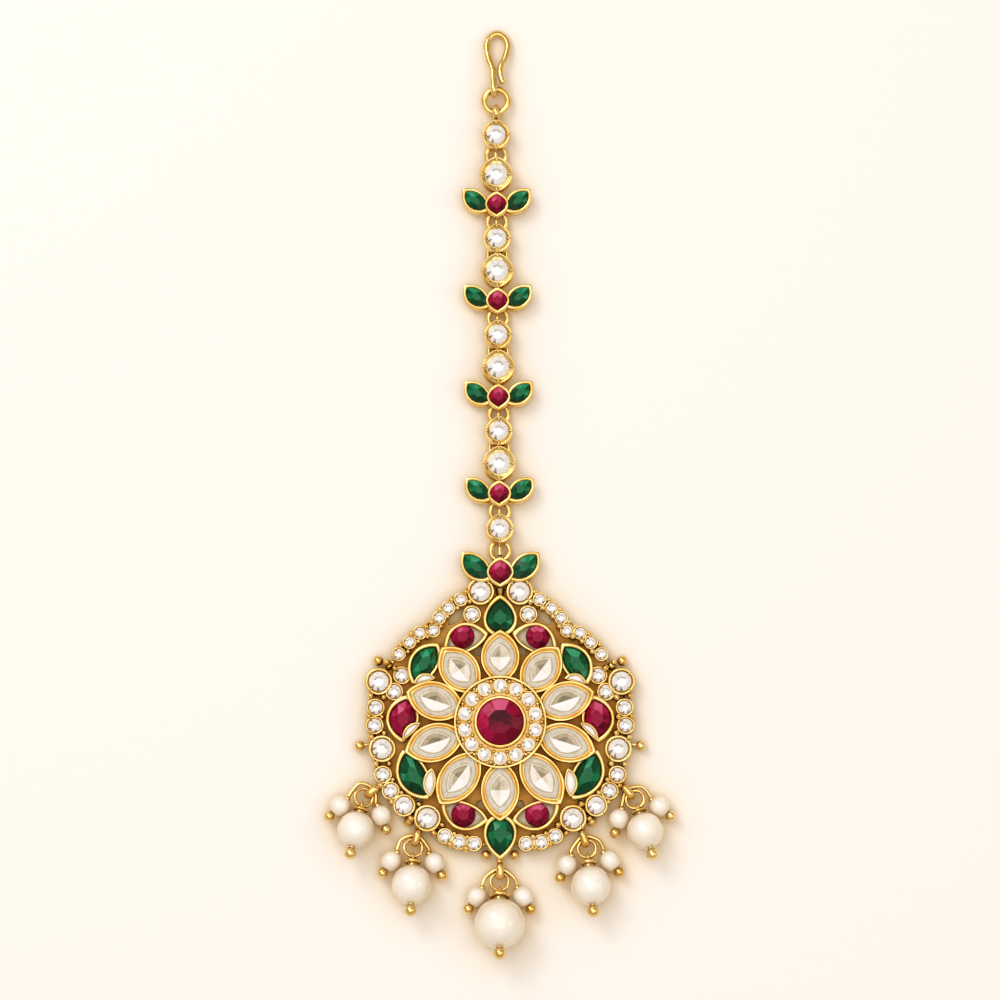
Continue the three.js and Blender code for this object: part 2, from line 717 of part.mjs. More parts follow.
function dropRing(drop) {
  const { ring, up } = dropFrame(drop);
  const geometry = new THREE.TorusGeometry(dropRingRadius, dropWire / 2, 5, 10);
  geometry.translate(-dropRingRadius, 0, 0);
  geometry.rotateY(radians(dropRingTilt));
  geometry.translate(dropRingRadius, 0, 0);
  geometry.rotateZ(Math.atan2(up.y, up.x));
  geometry.translate(ring.x, ring.y, dropHeight);
  return geometry;
}

// The main pearl with its cap, its loop on the ring and the ball that ends its pin.
function mainDrop(drop) {
  const { ring, down } = dropFrame(drop);
  const size = drop.pearl * mainPearlRadius;
  const ringRise = 2 * dropRingRadius * Math.sin(radians(dropRingTilt));
  const loopMiddle = ring.clone().addScaledVector(down, dropRingRadius * 0.97);
  const loop = raised(loopMiddle, dropHeight + ringRise * 0.95);
  const heart = raised(ring.clone().addScaledVector(down, drop.reach * dropReach), size);
  const axis = heart.clone().sub(loop).normalize();
  const at = (distance) => heart.clone().addScaledVector(axis, distance);
  const lift = new THREE.Quaternion();
  lift.setFromUnitVectors(new THREE.Vector3(0, 0, 1), axis.clone().negate());
  const capTop = size + capRadius * 0.3;
  const cap = turned([
    [0, size * 0.9], [capRadius, size * 0.93], [capRadius * 0.37, capTop], [0, capTop],
  ], 10);
  cap.applyQuaternion(lift);
  cap.translate(heart.x, heart.y, heart.z);
  const loopRadius = dropWire / 2 + linkGap + dropWire / 2;
  return fuse([
    ball(size, heart.x, heart.y, heart.z, 12, 6),
    solid(cap),
    bar(at(-size), loop.clone().addScaledVector(axis, loopRadius), pinWire),
    bail(dropWire, dropWire, 0, loop.x, loop.y, loop.z, Math.atan2(down.y, down.x)),
    bar(at(size * 0.8), at(size + endBallRadius), pinWire),
    ball(endBallRadius, ...at(size + endBallRadius).toArray(), 8),
  ]);
}

// The wire over the ring with a small pearl at each end.
function smallPearls(drop) {
  const { ring, up, down, right } = dropFrame(drop);
  const reach = drop.pearl * mainPearlRadius * 0.35 + smallPearlSpread;
  const local = (across, along) => ring.clone().addScaledVector(right, across).addScaledVector(down, along);
  const parts = [];
  const ends = [];
  for (const side of [-1, 1]) {
    const angle = radians(smallPearlAngle);
    const middle = local(side * reach * Math.sin(angle), reach * Math.cos(angle));
    const pinWay = right.clone().multiplyScalar(side * Math.sin(radians(smallPinAngle)))
      .addScaledVector(down, Math.cos(radians(smallPinAngle)));
    const along = (distance) => raised(middle.clone().addScaledVector(pinWay, distance), smallPearlRadius);
    parts.push(
      ball(smallPearlRadius, middle.x, middle.y, smallPearlRadius),
      ball(smallBallRadius, ...along(smallPearlRadius + smallBallRadius * 0.8).toArray(), 8),
    );
    ends.push(along(-smallPearlRadius * 0.8));
  }
  const top = ring.clone().addScaledVector(up, dropRingRadius + dropWireStep);
  const shoulder = (side) => raised(ring.clone()
    .addScaledVector(up, dropRingRadius * 0.55)
    .addScaledVector(vector(up.y, -up.x), side * (dropRingRadius + shoulderWidth)), dropHeight);
  const route = [ends[0], shoulder(-1), raised(top, dropHeight), shoulder(1), ends[1]];
  const arc = wireTube(route, dropWire, 9);
  return fuse([...parts, solid(arc)]);
}

function addDrops() {
  for (const drop of drops) {
    addPiece(`drop_${drop.name}_ring`, dropRing(drop), gold);
    addPiece(`drop_${drop.name}_pair`, geometryOf(smallPearls(drop)), gold);
    addPiece(`drop_${drop.name}_pearl`, geometryOf(mainDrop(drop)), pearl);
  }
}

addPendant();
addChain();
addDrops();

// The origin is under the middle of the whole ornament, on the surface it lies on.
const box = new THREE.Box3().setFromObject(tikka);
const ornament = new THREE.Group();
tikka.position.set(-(box.min.x + box.max.x) / 2, -(box.min.y + box.max.y) / 2, -box.min.z);
ornament.add(tikka);

export default ornament;
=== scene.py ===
import random
from math import atan2, copysign, cos, exp, hypot, pi, radians, sin, sqrt

import bmesh
import bpy
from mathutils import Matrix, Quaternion, Vector


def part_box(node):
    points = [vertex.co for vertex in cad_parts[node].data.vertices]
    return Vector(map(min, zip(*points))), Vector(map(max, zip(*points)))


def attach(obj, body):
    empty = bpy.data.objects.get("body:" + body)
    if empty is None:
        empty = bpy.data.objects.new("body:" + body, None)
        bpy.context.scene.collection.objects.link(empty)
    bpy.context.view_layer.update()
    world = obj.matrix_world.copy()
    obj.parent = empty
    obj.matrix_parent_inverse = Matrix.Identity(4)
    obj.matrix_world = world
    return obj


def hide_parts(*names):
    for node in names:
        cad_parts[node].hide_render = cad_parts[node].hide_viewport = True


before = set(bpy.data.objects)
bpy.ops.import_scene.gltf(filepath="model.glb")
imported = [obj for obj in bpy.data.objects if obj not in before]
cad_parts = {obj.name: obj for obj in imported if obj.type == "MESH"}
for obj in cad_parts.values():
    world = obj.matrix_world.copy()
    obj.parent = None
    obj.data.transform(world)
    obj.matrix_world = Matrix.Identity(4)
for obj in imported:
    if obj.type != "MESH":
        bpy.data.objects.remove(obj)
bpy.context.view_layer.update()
print("frame loaded")

mm = 0.001
rubyLow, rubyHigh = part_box("centre_ruby")  # the pendant's middle is the middle of this stone
middleX = (rubyLow.x + rubyHigh.x) / 2
middleY = (rubyLow.y + rubyHigh.y) / 2


def spot(x, y, z):  # millimetres from the pendant's middle, to metres in the frame
    return Vector((middleX + x * mm, middleY + y * mm, z * mm))


def linked(name, data):  # a new object in the scene
    thing = bpy.data.objects.new(name, data)
    bpy.context.scene.collection.objects.link(thing)
    return thing


def lerp(a, b, share):
    return a + (b - a) * share


def around(count, start=0.0):  # the angles of a full turn
    return [start + 2 * pi * i / count for i in range(count)]


def linear(hexColour):
    parts = [int(hexColour[i:i + 2], 16) / 255 for i in (1, 3, 5)]
    return [c / 12.92 if c <= 0.04045 else ((c + 0.055) / 1.055) ** 2.4 for c in parts] + [1.0]


def addNode(tree, kind, inputs=None, **settings):
    node = tree.nodes.new(kind)
    for key, value in settings.items():
        setattr(node, key, value)
    for key, value in (inputs or {}).items():
        if isinstance(value, bpy.types.NodeSocket):
            tree.links.new(value, node.inputs[key])
        else:
            node.inputs[key].default_value = value
    return node


def addRamp(tree, factor, stops):
    node = addNode(tree, "ShaderNodeValToRGB", {"Fac": factor})
    ramp = node.color_ramp
    while len(ramp.elements) < len(stops):
        ramp.elements.new(0.5)
    for element, (position, colour) in zip(ramp.elements, stops):
        element.position = position
        element.color = linear(colour)
    return node.outputs["Color"]


def blankMaterial(name):
    material = bpy.data.materials.new(name)
    material.use_nodes = True
    tree = material.node_tree
    return material, tree, tree.nodes["Principled BSDF"]


def setShader(shader, values):
    for key, value in values.items():
        shader.inputs[key].default_value = value


def patchNoise(tree, size, detail):
    place = addNode(tree, "ShaderNodeTexCoord").outputs["Object"]
    return addNode(tree, "ShaderNodeTexNoise", {"Vector": place, "Scale": 1 / (size * mm), "Detail": detail})


# Cast brass, gold plated and tumbled: bright yellow metal, with painted shade that turns it darker and redder in the
# recesses which ambient occlusion finds.
# Worn clouds of 3 mm and a polishing grain of 0.12 mm, drawn coarser than real so that it shows
goldFinish = {
    "light": "#f8da92", "deep": "#e8bb62", "paintedShadeColour": "#84561a",
    "patch": 3.0, "grain": 0.12, "paintedShadeDistance": 0.9,
    "smooth": 0.14, "dull": 0.24, "bump": 0.05,
}


def goldMaterial(name, finish):
    material, tree, shader = blankMaterial(name)
    cloud = patchNoise(tree, finish["patch"], 3.0).outputs["Fac"]
    grain = patchNoise(tree, finish["grain"], 2.0).outputs["Fac"]
    worn = addRamp(tree, cloud, [(0.35, finish["deep"]), (0.65, finish["light"])])
    # painted shade: the recess colour is mixed into the base colour where ambient occlusion finds the metal hemmed in
    shade = addNode(tree, "ShaderNodeAmbientOcclusion", {"Distance": finish["paintedShadeDistance"] * mm}, samples=6)
    paintedShadeMask = addNode(tree, "ShaderNodeMapRange", {
        "Value": shade.outputs["AO"], "From Min": 0.25, "From Max": 0.82})
    tone = addNode(tree, "ShaderNodeMix", {
        0: paintedShadeMask.outputs["Result"], 6: linear(finish["paintedShadeColour"]), 7: worn}, data_type="RGBA")
    rough = addNode(tree, "ShaderNodeMapRange", {
        "Value": grain, "To Min": finish["smooth"], "To Max": finish["dull"]})
    bump = addNode(tree, "ShaderNodeBump", {
        "Height": grain, "Strength": finish["bump"], "Distance": 0.02 * mm})
    tree.links.new(tone.outputs[2], shader.inputs["Base Color"])
    tree.links.new(rough.outputs["Result"], shader.inputs["Roughness"])
    tree.links.new(bump.outputs["Normal"], shader.inputs["Normal"])
    setShader(shader, {"Metallic": 1.0})
    return material


# Stones: the tone of each facet is a painted reflection from dark to bright, partly set by which way the facet faces
# and partly drawn at random, and drifts a little from place to place over patches of under a millimetre
def stoneMaterial(name, finish):
    material, tree, shader = blankMaterial(name)
    facet = addNode(tree, "ShaderNodeAttribute", attribute_name="tone").outputs["Fac"]
    cloud = patchNoise(tree, finish["patch"], 2.0).outputs["Fac"]
    drift = addNode(tree, "ShaderNodeMapRange", {
        "Value": cloud, "To Min": -finish["drift"], "To Max": finish["drift"]})
    depth = addNode(tree, "ShaderNodeMath", {0: facet, 1: drift.outputs["Result"]}, operation="ADD")
    colour = addRamp(tree, depth.outputs["Value"], finish["stops"])
    tree.links.new(colour, shader.inputs["Base Color"])
    setShader(shader, {
        "Roughness": finish["rough"], "IOR": finish["ior"], "Specular IOR Level": finish["gloss"],
        "Transmission Weight": finish["clear"],
    })
    return material


rubyFinish = {  # red foiled glass, machine cut and polished: deep crimson with a few pink flashes
    "stops": [(0.0, "#420216"), (0.3, "#84062c"), (0.6, "#ac0f43"), (1.0, "#dc6288")],
    "patch": 0.9, "drift": 0.16, "rough": 0.08, "ior": 1.6, "clear": 0.05, "gloss": 0.07,
}
emeraldFinish = {  # green foiled glass, machine cut and polished: dark bottle green, with painted reflection making it paler across the middle
    "stops": [(0.0, "#012a14"), (0.35, "#044a29"), (0.7, "#0a7a48"), (1.0, "#46ad85")],
    "patch": 0.9, "drift": 0.16, "rough": 0.08, "ior": 1.58, "clear": 0.05, "gloss": 0.14,
}
crystalFinish = {  # white zircon, brilliant cut: white and grey facets side by side, as painted reflections
    "stops": [(0.0, "#5d564c"), (0.3, "#b5aea2"), (0.5, "#f3f1ed"), (1.0, "#ffffff")],
    "patch": 0.45, "drift": 0.24, "rough": 0.04, "ior": 1.9, "clear": 0.05, "gloss": 0.9,
}
kundanFinish = {  # flat backed glass over silver foil, as kundan stones are set: milky, with a crown brightened by painted reflection
    "stops": [(0.0, "#786c52"), (0.3, "#b5a583"), (0.6, "#e8dfcb"), (1.0, "#ffffff")],
    "patch": 0.8, "drift": 0.16, "rough": 0.05, "ior": 1.5, "clear": 0.05, "gloss": 0.3,
}


# Imitation pearl: a glass bead in many coats of nacre lacquer, white on top, with painted shade that makes it
# creamier and darker round its sides, with faint warm clouds of 4 mm
def pearlMaterial(name, finish):
    material, tree, shader = blankMaterial(name)
    cloud = patchNoise(tree, finish["patch"], 3.0).outputs["Fac"]
    nacre = addRamp(tree, cloud, [(0.3, finish["warm"]), (0.7, finish["pale"])])
    # painted shade: the side colour is mixed in where the surface faces sideways or down
    normal = addNode(tree, "ShaderNodeNewGeometry").outputs["Normal"]
    upward = addNode(tree, "ShaderNodeSeparateXYZ", {"Vector": normal}).outputs["Z"]
    share = addNode(tree, "ShaderNodeMapRange", {"Value": upward, "From Min": -0.1, "From Max": 0.95})
    paintedSideShade = addNode(tree, "ShaderNodeMix", {
        0: share.outputs["Result"], 6: linear(finish["side"]), 7: nacre}, data_type="RGBA")
    bump = addNode(tree, "ShaderNodeBump", {
        "Height": cloud, "Strength": 0.03, "Distance": 0.1 * mm})
    tree.links.new(paintedSideShade.outputs[2], shader.inputs["Base Color"])
    tree.links.new(bump.outputs["Normal"], shader.inputs["Normal"])
    setShader(shader, {
        "Roughness": 0.22, "IOR": 1.56, "Coat Weight": 1.0, "Coat Roughness": 0.06,
        "Subsurface Weight": 0.15, "Subsurface Scale": 0.0008, "Sheen Weight": 0.15, "Sheen Roughness": 0.4,
    })
    return material


# Coated card with a little tooth: matt and pale, with a painted warm shadow where ambient occlusion finds the card
# close under the piece. The tooth is 1.2 mm, coarser than real
def paperMaterial(name, colour, paintedShading):
    material, tree, shader = blankMaterial(name)
    tooth = patchNoise(tree, 1.2, 4.0).outputs["Fac"]
    bump = addNode(tree, "ShaderNodeBump", {"Height": tooth, "Strength": 0.02, "Distance": 0.05 * mm})
    # painted shadow: a darker, warmer tan is mixed in where ambient occlusion finds the piece near
    near = addNode(tree, "ShaderNodeAmbientOcclusion", {"Distance": 7 * mm}, samples=8)
    clear = addNode(tree, "ShaderNodeMapRange", {"Value": near.outputs["AO"], "From Min": 0.1, "From Max": 0.95})
    paintedShadowMix = addNode(tree, "ShaderNodeMix", {
        0: clear.outputs["Result"], 6: linear(paintedShading), 7: linear(colour)}, data_type="RGBA")
    tree.links.new(paintedShadowMix.outputs[2], shader.inputs["Base Color"])
    tree.links.new(bump.outputs["Normal"], shader.inputs["Normal"])
    setShader(shader, {"Roughness": 0.75})
    return material


gold = goldMaterial("Gold plated brass, tumbled", goldFinish)
wireGold = goldMaterial("Gold plated brass wire, drawn", {  # smoother than the castings, with sharper lines of light
    **goldFinish, "smooth": 0.1, "dull": 0.2, "patch": 2.0})
shadedFloorGold = goldMaterial("Gold plated brass, floor in painted shade", {  # the floor between the settings, rougher and so dull, its darker browner colour painted shade with a deeper painted shade in its recesses
    **goldFinish, "light": "#d6a65c", "deep": "#b47e39", "paintedShadeColour": "#6b4212", "paintedShadeDistance": 1.8,
    "smooth": 0.3, "dull": 0.45})
ruby = stoneMaterial("Ruby glass, cut", rubyFinish)
emerald = stoneMaterial("Emerald glass, cut", emeraldFinish)
crystal = stoneMaterial("White zircon, brilliant cut", crystalFinish)
kundan = stoneMaterial("Kundan glass, foiled", kundanFinish)
# the side colour is painted shade round the pearls' sides
pearl = pearlMaterial("Imitation pearl, lacquered", {
    "patch": 4.0, "warm": "#faf1e4", "pale": "#fffdf7", "side": "#dfc288"})
# ecce87 is the colour of the painted shadow on the card
paper = paperMaterial("Cream card", "#fbf9f6", "#ecce87")
finishes = {  # each material's slot, and the angle in degrees from which its edges stay sharp
    gold: ("gold", 38), wireGold: ("gold", 38), shadedFloorGold: ("gold", 38), pearl: ("pearl", 60),
    ruby: ("ruby", 0), emerald: ("emerald", 0), crystal: ("kundan_glass", 0), kundan: ("kundan_glass", 0),
}
print("materials made")


def newTree(name, sockets):
    tree = bpy.data.node_groups.new(name, "GeometryNodeTree")
    for socketName, kind in sockets:
        tree.interface.new_socket(name=socketName, in_out="INPUT", socket_type=kind)
    tree.interface.new_socket(name="Geometry", in_out="OUTPUT", socket_type="NodeSocketGeometry")
    given = addNode(tree, "NodeGroupInput").outputs
    return tree, given


def endTree(tree, geometry, material):
    real = addNode(tree, "GeometryNodeRealizeInstances", {"Geometry": geometry})
    finish = addNode(tree, "GeometryNodeSetMaterial", {"Geometry": real.outputs[0], "Material": material})
    addNode(tree, "NodeGroupOutput", {"Geometry": finish.outputs[0]})


def wireTree():  # a round wire along each path
    tree, given = newTree("drawnWire", [
        ("Geometry", "NodeSocketGeometry"), ("Wire", "NodeSocketFloat"),
        ("Sides", "NodeSocketInt"), ("Steps", "NodeSocketInt"), ("Finish", "NodeSocketMaterial")])
    path = addNode(tree, "GeometryNodeMeshToCurve", {"Mesh": given["Geometry"]})
    bent = addNode(tree, "GeometryNodeCurveSplineType", {"Curve": path.outputs[0]}, spline_type="CATMULL_ROM")
    fine = addNode(tree, "GeometryNodeSetSplineResolution", {
        "Geometry": bent.outputs[0], "Resolution": given["Steps"]})
    half = addNode(tree, "ShaderNodeMath", {0: given["Wire"], 1: 0.5}, operation="MULTIPLY")
    section = addNode(tree, "GeometryNodeCurvePrimitiveCircle", {
        "Resolution": given["Sides"], "Radius": half.outputs[0]})
    swept = addNode(tree, "GeometryNodeCurveToMesh", {
        "Curve": fine.outputs[0], "Profile Curve": section.outputs[0], "Fill Caps": True})
    endTree(tree, swept.outputs[0], given["Finish"])
    return tree


def repeatTree():  # one form on every point, sized and turned by the point's attributes
    tree, given = newTree("solderedForms", [
        ("Geometry", "NodeSocketGeometry"), ("Form", "NodeSocketObject"), ("Finish", "NodeSocketMaterial")])
    form = addNode(tree, "GeometryNodeObjectInfo", {"Object": given["Form"]})
    size = addNode(tree, "GeometryNodeInputNamedAttribute", {"Name": "size"}, data_type="FLOAT_VECTOR")
    turn = addNode(tree, "GeometryNodeInputNamedAttribute", {"Name": "turn"}, data_type="FLOAT_VECTOR")
    placed = addNode(tree, "GeometryNodeInstanceOnPoints", {
        "Points": given["Geometry"], "Instance": form.outputs["Geometry"],
        "Rotation": turn.outputs[0], "Scale": size.outputs[0]})
    endTree(tree, placed.outputs[0], given["Finish"])
    return tree


wires = wireTree()
forms = repeatTree()


def grown(tree, base, inputs):
    holder = linked("holder", base)
    modifier = holder.modifiers.new("grow", "NODES")
    modifier.node_group = tree
    for item in tree.interface.items_tree:
        if item.in_out == "INPUT" and item.name in inputs:
            modifier[item.identifier] = inputs[item.name]
    graph = bpy.context.evaluated_depsgraph_get()
    made = bpy.data.meshes.new_from_object(
        holder.evaluated_get(graph), preserve_all_data_layers=True, depsgraph=graph)
    bpy.data.objects.remove(holder)
    bpy.data.meshes.remove(base)
    return made


# A shell gathers vertices in metres, faces and the tone of each face
def newShell():
    return {"verts": [], "faces": [], "tones": []}


def addFaces(shell, verts, faces, tones=None):
    first = len(shell["verts"])
    shell["verts"] += verts
    shell["faces"] += [[first + i for i in face] for face in faces]
    shell["tones"] += tones or [0.5] * len(faces)


def absorb(shell, mesh):
    tone = mesh.attributes.get("tone")
    addFaces(
        shell, [v.co.copy() for v in mesh.vertices], [list(p.vertices) for p in mesh.polygons],
        [tone.data[p.index].value for p in mesh.polygons] if tone else None)
    bpy.data.meshes.remove(mesh)


def meshOf(name, shell, sharp):
    mesh = bpy.data.meshes.new(name)
    mesh.from_pydata(shell["verts"], [], shell["faces"])
    tone = mesh.attributes.new("tone", "FLOAT", "FACE")
    tone.data.foreach_set("value", shell["tones"])
    work = bmesh.new()
    work.from_mesh(mesh)
    bmesh.ops.recalc_face_normals(work, faces=work.faces)
    work.to_mesh(mesh)
    work.free()
    if sharp == 0:
        mesh.shade_flat()
    else:
        mesh.shade_smooth()
        mesh.set_sharp_from_angle(angle=radians(sharp))
    return mesh


def addPiece(name, shell, material, nodes=()):
    slot, sharp = finishes[material]
    piece = linked(name, meshOf(name, shell, sharp))
    piece.data.materials.append(material)
    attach(piece, "root")
    if nodes:
        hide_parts(*nodes)


def addLoft(shell, rings, closeStart=True, closeEnd=True, tones=None):
    count = len(rings[0])
    tones = tones or [0.5] * len(rings)
    faces, faceTones = [], []
    for r in range(len(rings) - 1):
        low, high = r * count, (r + 1) * count
        for i in range(count):
            j = (i + 1) % count
            faces.append([low + i, low + j, high + j, high + i])
            faceTones.append(tones[r])
    if closeStart:
        faces.append(list(range(count))[::-1])
        faceTones.append(tones[0])
    if closeEnd:
        faces.append([(len(rings) - 1) * count + i for i in range(count)])
        faceTones.append(tones[-1])
    addFaces(shell, [point for ring in rings for point in ring], faces, faceTones)


def addWires(shell, paths, wire, sides=12, steps=2):  # each path is (points in metres, closed)
    base = bpy.data.meshes.new("paths")
    verts, edges = [], []
    for points, closed in paths:
        first = len(verts)
        verts += points
        edges += [(first + i, first + i + 1) for i in range(len(points) - 1)]
        if closed:
            edges.append((first + len(points) - 1, first))
    base.from_pydata(verts, edges, [])
    absorb(shell, grown(wires, base, {"Wire": wire * mm, "Sides": sides, "Steps": steps, "Finish": wireGold}))


def addRod(shell, start, end, wire):
    addWires(shell, [([start, end], False)], wire, steps=1)


def addForms(shell, form, rows, finish=gold):  # each row is (place, size in metres, turn in radians)
    base = bpy.data.meshes.new("points")
    base.from_pydata([row[0] for row in rows], [], [])
    for index, label in ((1, "size"), (2, "turn")):
        values = [c for row in rows for c in row[index]]
        base.attributes.new(label, "FLOAT_VECTOR", "POINT").data.foreach_set("vector", values)
    absorb(shell, grown(forms, base, {"Form": form, "Finish": finish}))


def evenly(place, size, turn=(0, 0, 0)):  # a row for a form of one size in millimetres all round
    return (place, (size * mm,) * 3, turn)


def circlePoints(centre, radius, count):
    return [centre + Vector((radius * mm * cos(a), radius * mm * sin(a), 0)) for a in around(count)]


def over(place, z):
    return spot(place.x, place.y, z)


def turnedRings(profile, sides):
    return [[spot(radius * cos(a), radius * sin(a), z) for a in around(sides)] for radius, z in profile]


# Outlines are lists of x, y in millimetres
def cubic(a, b, c, d, steps):
    points = []
    for i in range(steps):
        t = i / steps
        s = 1 - t
        points.append(tuple(
            s ** 3 * a[k] + 3 * s * s * t * b[k] + 3 * s * t * t * c[k] + t ** 3 * d[k] for k in (0, 1)))
    return points


leafFullness = 0.22  # how far along a leaf its curve is pulled out


def leafOutline(start, end, out, back, steps, near=leafFullness, far=leafFullness):
    dx, dy = end[0] - start[0], end[1] - start[1]
    length = hypot(dx, dy)
    sideX, sideY = -dy / length, dx / length

    def control(share, bulge):
        reach = bulge * 4 / 3
        return (start[0] + dx * share + sideX * reach, start[1] + dy * share + sideY * reach)

    last = 1 - far
    return (cubic(start, control(near, -back), control(last, -back), end, steps)
            + cubic(end, control(last, out), control(near, out), start, steps))


def insetLeaf(leaf, wall, steps):
    start, end, out, back = leaf[:4]
    dx, dy = end[0] - start[0], end[1] - start[1]
    length = hypot(dx, dy)
    tip = wall * 1.5 / length
    return leafOutline(
        (start[0] + dx * tip, start[1] + dy * tip), (end[0] - dx * tip, end[1] - dy * tip),
        out - wall, back - wall, steps, *leaf[4:])


def middleOf(outline):
    return (sum(p[0] for p in outline) / len(outline), sum(p[1] for p in outline) / len(outline))


def scaled(outline, middle, share):
    return [(lerp(middle[0], x, share), lerp(middle[1], y, share)) for x, y in outline]


def level(outline, z):
    return [spot(x, y, z) for x, y in outline]


# A bezel whose section is a list of (distance in from the outline, height); its foot can lean downwards
def addRim(shell, leaf, profile, steps=22, lean=0.0):
    low, high = profile[0][1], max(z for wall, z in profile)
    addLoft(shell, [
        level([(x, y - lean * (high - z) / (high - low)) for x, y in insetLeaf(leaf, wall, steps)], z)
        for wall, z in profile])


toneDraw = random.Random(7)  # scatters the facets' tones


def direction(a, b, c):  # which way a facet faces, seen flat
    normal = (b - a).cross(c - a)
    if normal.z < 0:
        normal = -normal
    flat = Vector((normal.x, normal.y))
    return flat.normalized() if flat.length > 1e-12 else flat


def rubyTone(kind, way):
    if kind == "table":
        return 0.42
    # painted reflection: facets facing up the picture are brighter, and the topmost get a painted pink highlight
    flash = 0.34 if way.y > 0.72 else 0
    return min(1, max(0.05, 0.36 + 0.22 * way.y - 0.1 * way.x + flash + toneDraw.uniform(-0.18, 0.18)))


def emeraldTone(kind, way):
    if kind == "table":
        return 0.54
    # painted reflection: facets facing sideways and a little down are paler, and the topmost get a painted highlight
    paintedShading = exp(-((way.y + 0.3) / 0.35) ** 2)
    flash = 0.5 if way.y > 0.8 else 0
    spread = toneDraw.uniform(-0.12, 0.12)
    return min(1, max(0.03, 0.24 + 0.5 * paintedShading * abs(way.x) + 0.08 * way.y + flash + spread))


def crystalTone(kind, way):
    if kind == "table":
        return 0.78
    # painted reflection: star facets facing up the picture are greyer; the other facets are drawn at random
    if kind == "star":
        return 0.5 if way.y > 0.5 else 0.95
    return toneDraw.choice([0.12, 0.7, 0.9, 1.0, 1.0])


# The outline has an even number of points, and the table's corners face every second one
def addStone(shell, outline, low, girdle, top, tableShare, toneOf):
    middle = middleOf(outline)
    count = len(outline)
    if toneOf is not crystalTone:  # painted shade: a dark line where a coloured stone meets its bezel
        inside = scaled(outline, middle, 0.93)
        addLoft(shell, [level(outline, girdle - 0.3), level(outline, girdle - 0.06), level(inside, girdle)],
                closeStart=False, closeEnd=False, tones=[0.0, 0.0])
        outline = inside
    rim = level(outline, girdle)
    belt = level(outline, girdle - 0.12)
    table = level(scaled(outline[::2], middle, tableShare), top)
    culet = spot(middle[0], middle[1], low)
    verts = rim + belt + table + [culet]
    tip = len(verts) - 1
    faces, tones = [], []

    def put(face, kind):
        faces.append(face)
        tones.append(toneOf(kind, direction(*[verts[i] for i in face[:3]])))

    half = count // 2
    for j in range(half):
        a, b = 2 * count + j, 2 * count + (j + 1) % half
        g0, g1, g2 = 2 * j, 2 * j + 1, (2 * j + 2) % count
        put([a, g0, g1], "crown")
        put([a, g1, b], "star")
        put([b, g1, g2], "crown")
    if toneOf is crystalTone:  # a painted reflection: a dark arc inside the upper part of the table, as a brilliant shows
        ring = len(verts)
        verts += level(scaled(outline[::2], middle, tableShare * 0.62), top)
        for j in range(half):
            k = (j + 1) % half
            put([2 * count + j, 2 * count + k, ring + k, ring + j], "arc")
            x = (verts[2 * count + j].y + verts[2 * count + k].y) / 2 - culet.y
            tones[-1] = 0.16 if x > 0.2 * (verts[2 * count].xy - culet.xy).length else 0.95
        put(list(range(ring, ring + half)), "table")
    else:
        put(list(range(2 * count, 2 * count + half)), "table")
    for i in range(count):
        j = (i + 1) % count
        faces.append([i, j, count + j, count + i])
        faces.append([count + i, count + j, tip])
        tones += [0.4, 0.3]
    addFaces(shell, verts, faces, tones)


def circleOutline(radius, count, x=0, y=0, start=0.0):
    return [(x + radius * cos(a), y + radius * sin(a)) for a in around(count, start)]


# A flat border with fine lines, a raised line and a low four sided crown that comes to a point
def addKundan(shell, leaf, wall, low, rimLevel, top, steps=14):
    border = insetLeaf(leaf, wall, steps)
    middle = middleOf(border)
    inner = scaled(insetLeaf((*leaf[:4], 0.36, 0.36), wall + 0.45, steps), middle, 0.8)
    lip = scaled(inner, middle, 1.05)
    rings = [
        level(scaled(border, middle, 0.9), low), level(border, rimLevel - 0.1), level(border, rimLevel),
        level(scaled(border, middle, 0.9), rimLevel + 0.04), level(scaled(border, middle, 0.88), rimLevel + 0.02),
        level(scaled(border, middle, 0.79), rimLevel + 0.06), level(scaled(border, middle, 0.77), rimLevel + 0.04),
        level(lip, rimLevel + 0.14), level(inner, rimLevel + 0.17),
    ]
    addLoft(shell, rings, closeEnd=False, tones=[0.3, 0.3, 0.38, 0.9, 0.48, 0.95, 0.42, 1.0])
    start = Vector(leaf[0])
    end = Vector(leaf[1])
    along = (end - start).normalized()
    side = Vector((-along.y, along.x))
    heart = spot(middle[0], middle[1], top)
    count = len(inner)
    halfway = level(scaled(inner, middle, 0.55), lerp(rimLevel + 0.17, top, 0.45))
    verts = level(inner, rimLevel + 0.17) + halfway + [heart]
    faces, tones = [], []
    for i in range(count):
        j = (i + 1) % count
        x = (inner[i][0] + inner[j][0]) / 2 - middle[0]
        y = (inner[i][1] + inner[j][1]) / 2 - middle[1]
        way = side * copysign(0.8, x * side.x + y * side.y)
        way += along * copysign(0.35, x * along.x + y * along.y)
        # painted reflection: crown facets facing down the picture are brighter, those facing up darker
        tone = min(1, max(0.06, 0.6 - 0.7 * way.y + 0.14 * way.x))
        faces += [[i, j, count + j, count + i], [count + i, count + j, 2 * count]]
        tones += [lerp(tone, 0.62, 0.4) if tone < 0.5 else lerp(tone, 1.0, 0.4), tone]
    addFaces(shell, verts, faces, tones)


def addForm(name, shell, sharp):  # a master form, repeated by the nodes and removed at the end
    return linked(name, meshOf(name, shell, sharp))


